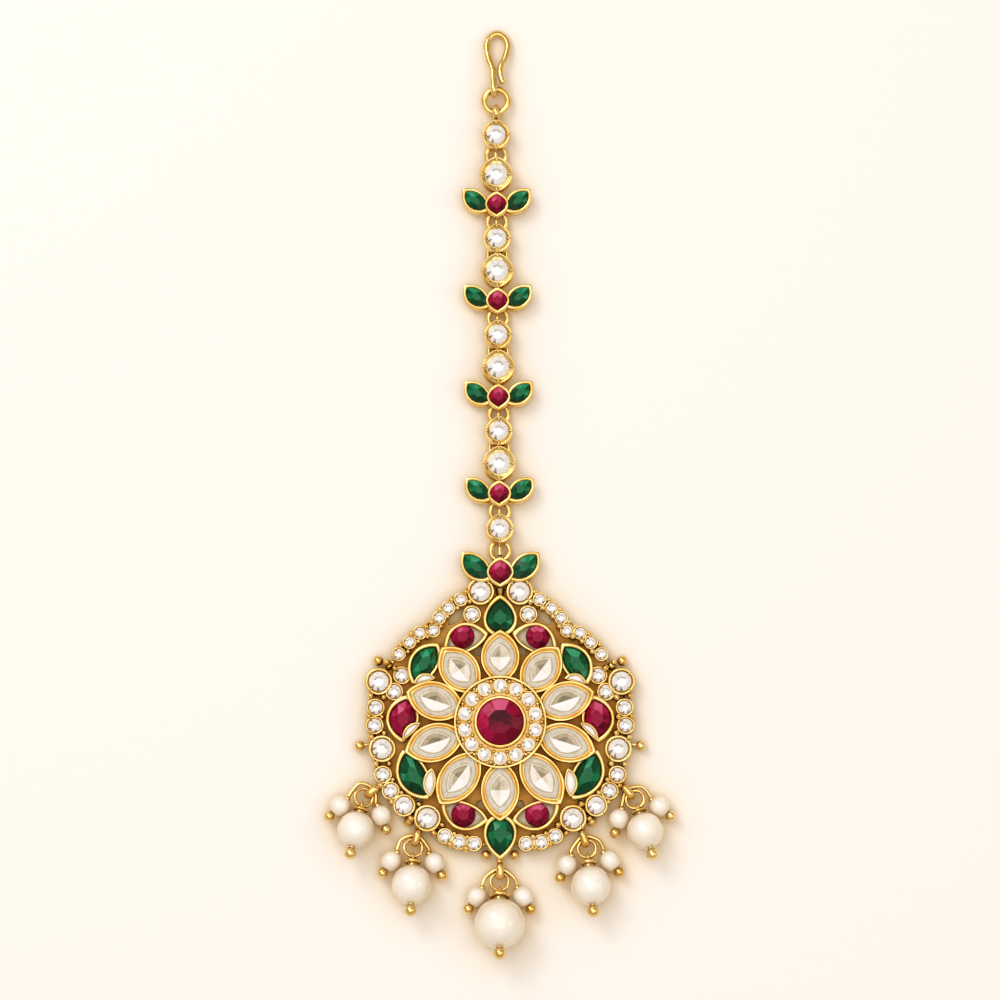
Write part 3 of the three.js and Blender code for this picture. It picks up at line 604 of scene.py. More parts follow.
def unitBall(name, across, down):  # rings of corners between two poles
    shell = newShell()
    slopes = [pi * k / down for k in range(1, down)]
    verts = [Vector((sin(slope) * cos(a), sin(slope) * sin(a), cos(slope)))
             for slope in slopes for a in around(across)]
    verts += [Vector((0, 0, 1)), Vector((0, 0, -1))]
    top, last = len(verts) - 2, (down - 2) * across
    faces = []
    for i in range(across):
        j = (i + 1) % across
        faces += [[r + i, r + j, r + across + j, r + across + i] for r in range(0, last, across)]
        faces += [[top, i, j], [top + 1, last + i, last + j]]
    addFaces(shell, verts, faces)
    return addForm(name, shell, 60)


def unitTurned(name, profile, sides, sharp):
    shell = newShell()
    addLoft(shell, [[Vector((r * cos(a), r * sin(a), z)) for a in around(sides)] for r, z in profile])
    return addForm(name, shell, sharp)


grainForm = unitBall("grainForm", 12, 8)
pearlForm = unitBall("pearlForm", 40, 26)
bezelForm = unitTurned("bezelForm", [  # a round stone's bezel: 1 across its half, its top at 0
    (0.2, -1.0), (0.94, -1.0), (0.99, -0.6), (1.0, -0.1), (0.98, -0.03), (0.94, 0.0), (0.86, 0.0),
    (0.81, -0.03), (0.78, -0.1), (0.77, -0.3), (0.2, -0.3),
], 32, 45)


def stoneForm(name, count, tableShare, seed):
    toneDraw.seed(seed)
    shell = newShell()
    unit = circleOutline(1.0, count, start=pi / count)
    addStone(shell, unit, -0.62, 0.0, 0.34, tableShare, crystalTone)
    home = spot(0, 0, 0)
    shell["verts"] = [(v - home) / mm for v in shell["verts"]]
    return addForm(name, shell, 0)


brilliantForm = stoneForm("brilliantForm", 16, 0.52, 3)
singleForm = stoneForm("singleForm", 12, 0.55, 5)
print("forms made")


pendant = {
    "radius": 20.4, "flowerRadius": 14.9, "plate": 0.8, "plateEdge": 0.06, "plateShare": 0.994, "wireShare": 0.985,
    "edgeRim": 2.2, "rimSpread": 1.07, "petalHalfWidth": 2.95, "petalRoot": 0.37,
    "stoneWall": 0.53, "stoneLow": 1.0, "stoneGirdle": 2.05, "stoneTop": 2.6, "tableShare": 0.5,
    "glassWall": 0.73, "glassLow": 2.2, "glassRim": 2.86, "glassTop": 3.26,
    "grainOut": 0.58, "grainIn": 0.46, "grainLevel": 1.7, "beadLevel": 0.9, "edgeWire": 0.42,
}
roundSizes = {
    "large": {"stone": 1.45, "rim": 1.92}, "middle": {"stone": 1.27, "rim": 1.6},
    "medium": {"stone": 1.0, "rim": 1.28}, "low": {"stone": 0.95, "rim": 1.12},
    "small": {"stone": 0.77, "rim": 0.99},
}
edgeStones = [  # right half: across, up as shares of the radius, size
    (0.143, 0.960, "large"), (0.289, 0.901, "small"), (0.379, 0.838, "small"), (0.447, 0.767, "small"),
    (0.489, 0.673, "small"), (0.587, 0.657, "small"), (0.664, 0.588, "small"), (0.741, 0.500, "small"),
    (0.888, 0.300, "large"), (0.910, 0.109, "medium"), (0.918, -0.021, "medium"), (0.863, -0.193, "large"),
    (0.857, -0.382, "medium"), (0.800, -0.500, "medium"), (0.702, -0.607, "middle"), (0.532, -0.701, "large"),
    (0.403, -0.831, "low"), (0.300, -0.874, "low"), (0.190, -0.886, "low"),
]
innerStones = [(0.206, 0.793, "medium"), (0.719, 0.346, "medium"), (0.774, 0.226, "medium")]
edgeBeads = [  # across, up, radius, neck
    (0.816, 0.419, 0.034, 0), (0.893, 0.455, 0.039, 0), (1.030, -0.168, 0.040, 2.4),
    (0.668, -0.722, 0.037, 0), (0.105, -0.966, 0.035, 0),
]
innerPetals = [  # direction in degrees, reach as a share of the flower's radius
    (90, 0.931), (52, 0.955), (18, 0.992), (-17.5, 1.003), (-53.5, 1.025),
    (-90, 0.997), (-126.5, 1.025), (-162.5, 1.003), (162, 0.992), (128, 0.955),
]
outerPetals = [  # name, tips, bulges as shares of the flower's radius
    ("red_upper", 0.115, 0.895, 0.573, 0.704, 0.205, 0.10, "ruby"),
    ("green_upper", 0.618, 0.799, 0.879, 0.372, 0.170, 0.13, "emerald"),
    ("red_side", 0.933, 0.281, 0.988, -0.206, 0.184, 0.15, "ruby"),
    ("green_lower", 0.978, -0.271, 0.717, -0.774, 0.190, 0.13, "emerald"),
    ("red_lower", 0.596, -0.804, 0.114, -0.985, 0.19, 0.10, "ruby"),
]
middlePetals = [  # name, tip, root, bulge
    ("green_top", 1.291, 0.844, 0.171), ("green_bottom", -1.382, -0.905, 0.168),
]
crescents = [  # tips, bulges
    (0.644, 0.44, 0.865, 0.386, 0.077, 0.015), (0.797, -0.005, 0.977, -0.18, 0.065, 0.023),
    (0.68, -0.462, 0.705, -0.748, 0.08, 0.05),
]
piercings = [  # openings in the plate: tips, bulges
    (0.36, 1.15, 0.52, 0.98, 0.05, 0.05), (0.17, 0.76, 0.26, 0.68, 0.05, 0.05),
    (0.45, 0.25, 0.49, 0.31, 0.03, 0.03), (0.77, -0.80, 0.87, -0.78, 0.04, 0.04),
    (0.17, -0.85, 0.23, -0.78, 0.05, 0.05),
]
roundRubies = {"red_upper": (5.6, 12.83, 1.8), "red_lower": (5.5, -13.8, 1.84)}  # across, up, radius
gems = {"ruby": (ruby, rubyTone), "emerald": (emerald, emeraldTone)}


def flowerLeaf(x1, y1, x2, y2, out, back, side):
    r = pendant["flowerRadius"]
    if side < 0:
        out, back = back, out
    return ((x1 * r * side, y1 * r), (x2 * r * side, y2 * r), out * r, back * r)


def innerLeaf(angle, reach):
    r = pendant["flowerRadius"]
    c, s = cos(radians(angle)), sin(radians(angle))
    root, half = pendant["petalRoot"] * r, pendant["petalHalfWidth"]
    return ((root * c, root * s), (reach * r * c, reach * r * s), half, half)


def sideName(side):
    return "right" if side > 0 else "left"


def onBothSides(across, up):  # a place given in shares of the pendant's radius, and its mirror place
    return [(across * side * pendant["radius"], up * pendant["radius"]) for side in (1, -1)]


# The plate follows the settings it carries: the furthest reach of their circles in each direction
def plateOutline(samples=540):
    discs = []
    for across, up, size in edgeStones:
        for x, y in onBothSides(across, up):
            discs.append((x, y, roundSizes[size]["rim"] + 0.1))
    corners = sorted([(x, y) for x, y, radius in discs], key=lambda place: atan2(place[1], place[0]))
    outline = []
    for angle in around(samples):
        c, s = cos(angle), sin(angle)
        reach = 0
        for x, y, radius in discs:
            along = x * c + y * s
            off = abs(y * c - x * s)
            if along > 0 and off < radius:
                reach = max(reach, along + sqrt(radius * radius - off * off))
        for (x1, y1), (x2, y2) in zip(corners, corners[1:] + corners[:1]):
            bottom = c * (y2 - y1) - s * (x2 - x1)
            if abs(bottom) < 1e-9:
                continue
            t = (x1 * (y2 - y1) - y1 * (x2 - x1)) / bottom
            u = (x1 * s - y1 * c) / bottom
            if t > 0 and 0 <= u <= 1:
                reach = max(reach, t + 0.35)
        outline.append((reach * c, reach * s))
    return outline


def flatCurve(outlines):
    curve = bpy.data.curves.new("plateCurve", "CURVE")
    curve.dimensions = "2D"
    curve.fill_mode = "BOTH"
    for outline in outlines:
        spline = curve.splines.new("POLY")
        spline.points.add(len(outline) - 1)
        for point, (x, y) in zip(spline.points, outline):
            point.co = (*spot(x, y, 0)[:2], 0, 1)
        spline.use_cyclic_u = True
    curve.extrude = (pendant["plate"] - 2 * pendant["plateEdge"]) / 2 * mm
    curve.bevel_depth = pendant["plateEdge"] * mm
    curve.bevel_resolution = 1
    holder = linked("plateCurve", curve)
    graph = bpy.context.evaluated_depsgraph_get()
    mesh = bpy.data.meshes.new_from_object(holder.evaluated_get(graph), depsgraph=graph)
    bpy.data.objects.remove(holder)
    for vert in mesh.vertices:
        vert.co.z += pendant["plate"] / 2 * mm
    return mesh


def makePlate():
    shell = newShell()
    outline = plateOutline()
    holes = [insetLeaf(flowerLeaf(*row, side), 0, 10) for row in piercings for side in (1, -1)]
    inset = scaled(outline, (0, 0), pendant["plateShare"])
    absorb(shell, flatCurve([inset] + holes))
    addPiece("back_plate", shell, shadedFloorGold, ["pendant_frame"])
    trim = newShell()
    path = level(scaled(outline[::2], (0, 0), pendant["wireShare"]), pendant["plate"] + 0.1)
    addWires(trim, [(path, True)], pendant["edgeWire"], sides=8, steps=1)
    addPiece("edge_wire", trim, wireGold)


def eachEdge():
    for stones, top in ((edgeStones, pendant["edgeRim"]), (innerStones, pendant["edgeRim"] - 0.2)):
        for across, up, size in stones:
            for x, y in onBothSides(across, up):
                yield x, y, size, top


def makeEdgeSettings():
    bezels, stones, claws = newShell(), newShell(), newShell()
    bezelRows, bigRows, smallRows, clawRows = [], [], [], []
    draw = random.Random(11)
    for x, y, size, top in eachEdge():
        rim, stone = roundSizes[size]["rim"], roundSizes[size]["stone"]
        bezelRows.append(evenly(spot(x, y, top), rim * pendant["rimSpread"]))
        rows = bigRows if size in ("large", "middle") else smallRows
        rows.append(evenly(spot(x, y, top - 0.1), min(stone, rim * 0.82), (0, 0, draw.uniform(-0.4, 0.4))))
        if size in ("large", "middle", "medium"):
            reach = rim * 0.84
            for a in around(4, pi / 4 + (0.4 if size == "medium" else 0)):
                clawRows.append((
                    spot(x + reach * cos(a), y + reach * sin(a), top + 0.02),
                    (0.24 * mm * rim / 1.6, 0.13 * mm, 0.15 * mm), (0, 0, a)))
    addForms(bezels, bezelForm, bezelRows)
    addForms(stones, brilliantForm, bigRows)
    addForms(stones, singleForm, smallRows)
    addForms(claws, grainForm, clawRows)
    addPiece("edge_bezels", bezels, gold)
    addPiece("edge_stones", stones, crystal)
    addPiece("edge_claws", claws, gold)


def makeGrains():  # pairs of solder grains between neighbouring settings, and the larger balls on the edge
    shell = newShell()
    rows = []
    for side in (1, -1):
        spots = [(a * side * pendant["radius"], u * pendant["radius"], roundSizes[size]["rim"])
                 for a, u, size in edgeStones]
        for (x1, y1, r1), (x2, y2, r2) in zip(spots, spots[1:]):
            gap = hypot(x2 - x1, y2 - y1)
            share = 0.5 + (r1 - r2) / gap / 2
            x, y = lerp(x1, x2, share), lerp(y1, y2, share)
            nx, ny = (y2 - y1) / gap, -(x2 - x1) / gap
            for way, size in ((1, pendant["grainOut"]), (-1, pendant["grainIn"])):
                reach = min(r1, r2) * 0.78 * way
                r = size * mm
                rows.append((spot(x + nx * reach, y + ny * reach, pendant["grainLevel"]), (r, r, r * 1.6), (0, 0, 0)))
        for across, up, radius, neck in edgeBeads:
            x, y, z = across * side * pendant["radius"], up * pendant["radius"], pendant["beadLevel"]
            rows.append(evenly(spot(x, y, z), radius * pendant["radius"]))
            if neck:
                share = 1 - neck / hypot(x, y)
                addRod(shell, spot(x, y, z), spot(x * share, y * share, z), 0.6)
    addForms(shell, grainForm, rows)
    addPiece("edge_grains", shell, gold)


# Sections of the bezels: distance in from the outline, height
outerProfile = [(0.1, 0.45), (0.0, 1.2), (0.0, 2.28), (0.05, 2.42), (0.15, 2.5), (0.36, 2.5),
                (0.46, 2.43), (0.53, 2.28), (0.56, 1.6), (0.56, 0.95)]
innerProfile = [(0.12, 0.5), (0.0, 1.6), (0.0, 2.92), (0.04, 3.08), (0.13, 3.18), (0.28, 3.18),
                (0.36, 3.1), (0.42, 2.96), (0.49, 2.9), (0.56, 2.93), (0.62, 3.0), (0.68, 3.0),
                (0.73, 2.92), (0.76, 2.75), (0.76, 2.0)]
crescentProfile = [(0.0, 0.6), (-0.04, 2.65), (0.0, 2.8), (0.08, 2.86), (0.18, 2.86), (0.25, 2.78), (0.28, 1.4)]


def addPetalStone(name, outline, gem, low, girdle, top):
    material, toneOf = gems[gem]
    shell = newShell()
    addStone(shell, outline, low, girdle, top, pendant["tableShare"], toneOf)
    addPiece(f"{name}_stone", shell, material, [name])


def makePetals():
    outer, inner, white = newShell(), newShell(), newShell()
    low, girdle, top = pendant["stoneLow"], pendant["stoneGirdle"], pendant["stoneTop"]
    for name, x1, y1, x2, y2, out, back, gem in outerPetals:
        for side in (1, -1):
            leaf = flowerLeaf(x1, y1, x2, y2, out, back, side)
            addRim(outer, leaf, outerProfile)
            if name in roundRubies:
                cx, cy, radius = roundRubies[name]
                seat = insetLeaf(leaf, 0.5, 12)
                addLoft(white, [level(seat, 1.0), level(seat, 1.7), level(scaled(seat, middleOf(seat), 0.8), 1.8)],
                        tones=[0.25, 0.3, 0.36])
                outline, belt = circleOutline(radius, 16, cx * side, cy), girdle - 0.05
            else:
                outline, belt = insetLeaf(leaf, pendant["stoneWall"], 6), girdle
            addPetalStone(f"{name}_{sideName(side)}", outline, gem, low, belt, top)
    for name, y1, y2, bulge in middlePetals:
        leaf = (*flowerLeaf(0, y1, 0, y2, bulge, bulge, 1), 0.34, 0.1)
        addRim(outer, leaf, outerProfile)
        addPetalStone(name, insetLeaf(leaf, pendant["stoneWall"], 6), "emerald", low, girdle, top)
    for number, (angle, reach) in enumerate(innerPetals, 1):
        leaf = innerLeaf(angle, reach)
        addRim(inner, leaf, innerProfile)
        shell = newShell()
        addKundan(shell, leaf, pendant["glassWall"], pendant["glassLow"], pendant["glassRim"], pendant["glassTop"])
        addPiece(f"petal_{number}_glass", shell, kundan, [f"petal_stone_{number}"])
    for row in crescents:
        for side in (1, -1):
            leaf = flowerLeaf(*row, side)
            addRim(outer, leaf, crescentProfile, steps=14)
            glass = insetLeaf(leaf, 0.26, 12)
            addLoft(white, [level(glass, 1.6), level(glass, 2.6), level(scaled(glass, middleOf(glass), 0.6), 2.74)],
                    tones=[0.5, 0.72, 0.95])
    addPiece("outer_bezels", outer, gold)
    addPiece("petal_bezels", inner, gold)
    addPiece("crescent_glass", white, kundan)


halo = {
    "radius": 6.9, "height": 2.95, "rimRise": 0.7, "bore": 3.9, "wallTop": 4.1,
    "stoneRadius": 0.95, "count": 14, "orbit": 5.4, "collar": 3.3, "collarShare": 1.13,
}
centreRuby = {"facets": 8, "radius": 3.42, "table": 1.85, "low": 2.45, "girdle": 3.72, "top": 4.45}


def makeHalo():
    shell = newShell()
    r, h, rim = halo["radius"], halo["height"], halo["height"] + halo["rimRise"]
    bore, top = halo["bore"], halo["wallTop"]
    addLoft(shell, turnedRings([
        (3.0, 0.5), (r - 0.15, 0.5), (r, 1.4), (r, rim - 0.12), (r - 0.06, rim - 0.02), (r - 0.16, rim),
        (r - 0.27, rim - 0.04), (r - 0.33, rim - 0.14), (r - 0.37, h), (bore + 0.08, h),
        (bore + 0.02, h + 0.1), (bore, top - 0.3), (bore - 0.05, top - 0.1), (bore - 0.14, top),
        (bore - 0.34, top), (bore - 0.43, top - 0.1), (bore - 0.46, top - 0.5), (3.3, 2.5), (3.0, 2.5),
    ], 96))
    rows, collars, grains = [], [], []
    for a in around(halo["count"], pi / 2):
        place = spot(halo["orbit"] * cos(a), halo["orbit"] * sin(a), halo["collar"])
        rows.append(evenly(place, halo["stoneRadius"], (0, 0, a)))
        collars.append(evenly(place, halo["stoneRadius"] * halo["collarShare"]))
        b = a + pi / halo["count"]
        for reach, size in ((halo["orbit"] - 0.85, 0.27), (halo["orbit"] + 0.8, 0.32)):
            grains.append(evenly(spot(reach * cos(b), reach * sin(b), h + 0.2), size))
    addForms(shell, grainForm, grains)
    addForms(shell, bezelForm, collars)
    addPiece("halo_metal", shell, gold)
    stones = newShell()
    addForms(stones, brilliantForm, rows)
    addPiece("halo_stones", stones, crystal)


def makeCentreRuby():  # broad crown facets round a dark flat table; the tones are painted reflection, crown facets brighter towards the top of the picture with a painted highlight on the topmost, the table pieces lighter towards the bottom
    shell = newShell()
    count, girdle, top = centreRuby["facets"], centreRuby["girdle"], centreRuby["top"]
    start = pi / count
    rim = count * 4  # four short edges of the girdle below each facet
    outer = circleOutline(centreRuby["radius"], rim, start=start)
    table = circleOutline(centreRuby["table"], count, start=start)
    verts = level(outer, girdle) + level(outer, girdle - 0.25) + level(table, top)
    verts += [spot(0, 0, centreRuby["low"]), spot(0, 0, top)]
    tip, heart = len(verts) - 2, len(verts) - 1
    faces, tones = [], []
    for k in range(count):
        # painted reflection and highlight, set by which way each facet faces
        a = start + (k + 0.5) * 2 * pi / count
        tone = min(1, max(0.06, 0.40 + 0.16 * sin(a) - 0.2 * cos(a)))
        corner, following = 2 * rim + k, 2 * rim + (k + 1) % count
        faces.append([(k * 4 + i) % rim for i in range(5)] + [following, corner])
        tones.append(0.98 if sin(a) > 0.95 else tone)
    for k in range(count):
        faces.append([2 * rim + k, 2 * rim + (k + 1) % count, heart])
        tones.append(max(0.0, 0.08 - 0.2 * sin(start + (k + 0.5) * 2 * pi / count)))
    for i in range(rim):
        j = (i + 1) % rim
        faces += [[i, j, rim + j, rim + i], [rim + i, rim + j, tip]]
        tones += [0.2, 0.2]
    addFaces(shell, verts, faces, tones)
    addPiece("centre_stone", shell, ruby, ["centre_ruby"])


makePlate()
makeEdgeSettings()
makeGrains()
makePetals()
makeHalo()
makeCentreRuby()
print("pendant made")


chain = {
    "pitch": 14.5, "leafShare": 0.355, "roundShare": 0.31, "aboveShare": 0.335,
    "crownHeight": 22.5, "crownStep": 6.5, "firstLeafStep": 5.3, "topRoundStep": 6.0, "lean": 0.0095,
    "cupFloor": 1.35, "cupHeight": 1.3, "linkGap": 0.12, "bailWire": 0.36, "bailSpread": 0.21,
    "ringRadius": 1.43, "ringWire": 0.6, "ringTube": 0.74, "tongue": 2.1, "tongueWire": 0.66,
    "leafReach": 5.1, "leafBulge": 1.42, "leafSunk": 0.3, "leafLean": 0.34, "leafSeat": 0.4,
    "leafRubyHeight": 1.95, "leafRubyWidth": 1.8, "crownScale": 1.14,
    "joint": 0.8, "jointLevel": 1.9, "neck": 1.1, "neckLevel": 1.6,
}
smallRound = {"stone": 1.42, "rim": 2.1}
largeRound = {"stone": 1.64, "rim": 2.48}
cupTop = chain["cupFloor"] + chain["cupHeight"]
ringLevel = chain["bailWire"] + chain["linkGap"] + chain["ringWire"] / 2 + 0.02


def leanAt(y):
    return -chain["lean"] * (y - chain["crownHeight"])


# An upright loop round a wire, drawn out along its own line
def bailPath(x, y, wire, holds, z, stretch=0.0, way=(0, 1)):
    radius = holds / 2 + chain["linkGap"] + wire / 2
    points = []
    for a in around(20):
        along = radius * cos(a) + copysign(stretch, cos(a))
        points.append(spot(x + way[0] * along, y + way[1] * along, z + radius * sin(a)))
    return (points, True)


def pointedRound(radius, point, x, y):  # a round drawn out to a low point at its top and bottom
    outline = []
    for a in around(48):
        r = radius * (1 + point * abs(sin(a)) ** 14)
        outline.append((r * cos(a) + x, r * sin(a) + y))
    return outline


def addCup(metal, stones, size, x, y):
    rim, stone, floor, top = size["rim"], size["stone"], chain["cupFloor"], cupTop
    section = [  # radius share, pointedness, height, how far the wall leans towards the pendant
        (0.6, 0.0, floor, 0.3), (0.9, 0.03, floor + 0.12, 0.34), (0.99, 0.05, floor + 0.4, 0.3),
        (1.0, 0.07, top - 0.35, 0.08), (0.97, 0.1, top - 0.1, 0.02), (0.93, 0.11, top, 0.0),
        (0.88, 0.11, top - 0.02, 0.0), (0.84, 0.1, top - 0.12, 0.0),
        (stone / rim + 0.05, 0.04, top - 0.32, 0.0), (stone / rim + 0.01, 0.0, top - 0.3, 0.0),
        (stone / rim - 0.04, 0.0, top - 0.42, 0.0),
    ]
    addLoft(metal, [level(pointedRound(rim * share, point, x, y - lean), z) for share, point, z, lean in section])
    clawRows = []
    for a, share in ((0, 0.86), (pi / 2, 0.9), (pi, 0.86), (-pi / 2, 0.9)):
        place = spot(x + rim * share * cos(a), y + rim * share * sin(a), top - 0.03)
        clawRows.append((place, (0.40 * mm, 0.17 * mm, 0.17 * mm), (0, 0, a)))
    addForms(metal, grainForm, clawRows)
    addForms(stones, brilliantForm, [evenly(spot(x, y, top - 0.2), stone)])


leafProfile = [(0.1, 0.0), (-0.02, 0.25), (-0.02, 0.8), (0.0, 1.12), (0.05, 1.24), (0.13, 1.3), (0.26, 1.3),
               (0.36, 1.24), (0.42, 1.12), (0.43, 0.9)]


def motifLeaves(x, y, scale):  # the ruby's outline, then the left and right leaf, fuller below than above
    h, w = chain["leafRubyHeight"] * scale + 0.12, chain["leafRubyWidth"] * scale
    reach, above = chain["leafReach"] * scale, chain["leafBulge"] * scale
    rise, below = 0.45 + 0.4 * (scale - 1), above * 1.26
    leaves = [((x, y + h), (x, y - h), w, w, 0.29, 0.29)]
    for side, back, out in ((-1, above, below), (1, below, above)):
        start, end = (x + side * reach, y + rise * reach), (x + side * reach * 0.22, y - 0.2 * reach)
        leaves.append((start, end, back, out))
    return leaves


def addMotif(metal, rubies, greens, x, y, scale, top):
    floor = chain["cupFloor"]
    for index, leaf in enumerate(motifLeaves(x, y, scale)):
        edge = top - chain["leafSunk"] if index else top
        profile = [(wall, floor + z / 1.3 * (edge - floor)) for wall, z in leafProfile]
        addRim(metal, leaf, profile, steps=18, lean=chain["leafLean"])
        seat = insetLeaf(leaf, chain["leafSeat"], 6)
        if index:
            addStone(greens, seat, floor + 0.4, edge - 0.2, edge + 0.1, 0.45, emeraldTone)
        else:
            addStone(rubies, seat, floor + 0.5, edge - 0.25, edge + 0.12, 0.52, rubyTone)


def underBails(x, y, step, way):  # two turns of the wire side by side
    place = y + way * (step / 2 - chain["ringRadius"])
    return [bailPath(x + side * chain["bailSpread"], place, chain["bailWire"], chain["ringWire"], ringLevel)
            for side in (-1, 1)]


def addTongue(metal, x, y, step):  # the bar seen in the middle of the ring below a link
    start = y - step / 2 + chain["ringRadius"]
    addRod(metal, spot(x, start, ringLevel + 0.1), spot(x, start - chain["tongue"], ringLevel + 0.35),
           chain["tongueWire"])


def makeRing(number, y, step):
    middle = y + step / 2
    shell = newShell()
    centre = spot(leanAt(middle), middle, ringLevel)
    addWires(shell, [(circlePoints(centre, chain["ringRadius"], 32), True)], chain["ringTube"], sides=14)
    addPiece(f"ring_{number}", shell, wireGold, [f"chain_ring_{number}"])


def makeRoundLink(number, y, stepBelow, topPaths, addTop=None):
    x = leanAt(y)
    metal, stones = newShell(), newShell()
    addCup(metal, stones, smallRound, x, y)
    addWires(metal, underBails(x, y, stepBelow, -1) + topPaths, chain["bailWire"], sides=10)
    addTongue(metal, x, y, stepBelow)
    if addTop:
        addTop(metal)
    addPiece(f"round_cup_{number}", metal, gold, [f"round_link_{number}"])
    addPiece(f"round_stone_{number}", stones, crystal)


def makeLeafLink(number, y, stepToLeaf, roundY, stepAbove):
    x, roundX = leanAt(y), leanAt(roundY)
    metal, stones, rubies, greens = newShell(), newShell(), newShell(), newShell()
    addMotif(metal, rubies, greens, x, y, 1.0, cupTop)
    addCup(metal, stones, largeRound, roundX, roundY)
    addWires(metal, underBails(x, y, stepToLeaf, -1) + underBails(roundX, roundY, stepAbove, 1),
             chain["bailWire"], sides=10)
    addTongue(metal, x, y, stepToLeaf)
    addRod(metal, spot(x, y + chain["leafRubyHeight"] - 0.3, chain["jointLevel"]),
           spot(roundX, roundY - largeRound["rim"] + 0.3, chain["jointLevel"]), chain["joint"])
    addPiece(f"leaf_setting_{number}", metal, gold, [f"leaf_link_{number}"])
    addPiece(f"leaf_round_stone_{number}", stones, crystal)
    addPiece(f"leaf_ruby_{number}", rubies, ruby)
    addPiece(f"leaf_greens_{number}", greens, emerald)


def makeCrown():
    metal, rubies, greens = newShell(), newShell(), newShell()
    y = chain["crownHeight"]
    addMotif(metal, rubies, greens, 0, y, chain["crownScale"], cupTop + 0.1)
    addWires(metal, underBails(0, y, chain["crownStep"], 1), chain["bailWire"], sides=10)
    addRod(metal, spot(0, y - chain["leafRubyHeight"], chain["neckLevel"]),
           spot(0, 0.9 * pendant["radius"], pendant["plate"]), chain["neck"])
    addPiece("crown_setting", metal, gold)
    addPiece("crown_ruby", rubies, ruby)
    addPiece("crown_greens", greens, emerald)


hook = {
    "wire": 0.75, "length": 8.5, "halfWidth": 1.58, "shift": 0.18, "eyeSide": 0.33, "eyeTurn": 250,
    "ringRadius": 1.77, "ringWire": 0.72, "ringStep": 5.2, "bailWire": 0.5,
    "tube": 0.98, "ringTube": 0.96, "bailTube": 1.06,
    "route": [  # from the eye round the bend to the loose end, in shares of the half width and the length
        (0.52, 0.13), (0.33, 0.255), (0.33, 0.40), (0.71, 0.54), (1.0, 0.775), (0.67, 0.937), (0, 1.0),
        (-0.67, 0.937), (-1.0, 0.775), (-0.81, 0.54), (-0.476, 0.363), (-0.38, 0.147)],
}


def makeHook(x, ringY, z):
    eyeY = ringY + hook["ringRadius"]
    eyeRadius = hook["ringWire"] / 2 + chain["linkGap"] + hook["wire"] / 2
    left = x + hook["shift"]
    points = [spot(left + across * hook["halfWidth"], eyeY + along * hook["length"],
                   lerp(z + eyeRadius, hook["tube"] / 2 + 0.03, along)) for across, along in hook["route"]]
    eyeX = left - hook["eyeSide"] * hook["halfWidth"]
    for i in range(7):
        turn = radians(hook["eyeTurn"] * i / 6)
        points.append(spot(eyeX, eyeY - eyeRadius * sin(turn), z + eyeRadius * cos(turn)))
    shell = newShell()
    addWires(shell, [(points, False)], hook["tube"], sides=16, steps=8)
    way = points[0] - points[1]
    addForms(shell, grainForm, [evenly(points[0], hook["tube"] / 2, (0, 0, atan2(way.y, way.x)))])
    addPiece("hook_wire", shell, wireGold, ["hook"])


def makeTop(y, stepBelow):
    x = leanAt(y)
    z = hook["wire"] + chain["linkGap"] + hook["ringWire"] / 2 + 0.11
    ringY = y + hook["ringStep"]
    bailY = ringY - hook["ringRadius"]
    reach = hook["ringWire"] / 2 + chain["linkGap"] + hook["bailWire"]

    def addLongBail(metal):
        addWires(metal, [bailPath(x, bailY, hook["bailWire"], hook["ringWire"], z)], hook["bailTube"], sides=14)
        addRod(metal, spot(x, y, chain["cupFloor"] + 0.3), spot(x, bailY - reach + 0.25, z), hook["bailTube"])

    makeRoundLink(5, y, stepBelow, [], addLongBail)
    shell = newShell()
    addWires(shell, [(circlePoints(spot(x, ringY, z), hook["ringRadius"], 40), True)], hook["ringTube"], sides=16)
    addPiece("top_ring", shell, wireGold, ["jump_ring"])
    makeHook(x, ringY, z)


def makeChain():
    y, stepBelow = chain["crownHeight"], chain["crownStep"]
    for number in range(1, 5):
        makeRing(2 * number - 1, y, stepBelow)
        y += stepBelow
        stepToLeaf = chain["firstLeafStep"] if number == 1 else chain["leafShare"] * chain["pitch"]
        makeRoundLink(number, y, stepBelow, underBails(leanAt(y), y, stepToLeaf, 1))
        makeRing(2 * number, y, stepToLeaf)
        y += stepToLeaf
        roundY = y + chain["roundShare"] * chain["pitch"]
        stepAbove = chain["topRoundStep"] if number == 4 else chain["aboveShare"] * chain["pitch"]
        makeLeafLink(number, y, stepToLeaf, roundY, stepAbove)
        y, stepBelow = roundY, stepAbove
    makeRing(9, y, stepBelow)
    makeTop(y + stepBelow, stepBelow)


makeCrown()
makeChain()
print("chain made")


drop = {
    "ringRadius": 1.35, "ringWire": 0.52, "wire": 0.42, "arcWire": 0.6, "bailWire": 0.5, "bailTube": 1.15,
    "height": 1.3, "tilt": 15, "step": 0.6, "rootToRing": 3.69, "pearl": 3.8, "reach": 6.25, "capShare": 0.43,
    "endBall": 0.96, "grain": 0.5, "smallPearl": 1.56, "smallBall": 0.83, "smallAngle": 58, "pinAngle": 33,
    "shoulder": 0.72, "spread": 2.75, "spreadShare": 0.35, "foot": 0.6,
}
pearlTurn = (0.3, 0.2, 0)  # turns the poles of the mesh away from the eye
dropRows = [  # name, bail root in shares of the radius, way to the ring, lean, pearl, reach
    ("a", -0.87, -0.456, -0.71, -0.52, -13.2, 0.73, 0.79), ("b", -0.595, -0.785, -0.22, -0.74, -2.4, 0.79, 0.88),
    ("c", 0, -0.98493, -0.02, -1, 0, 1, 1), ("d", 0.595, -0.785, 0.22, -0.78, 5.5, 0.79, 0.88),
    ("e", 0.89, -0.456, 0.54, -0.61, 17, 0.73, 0.78),
]


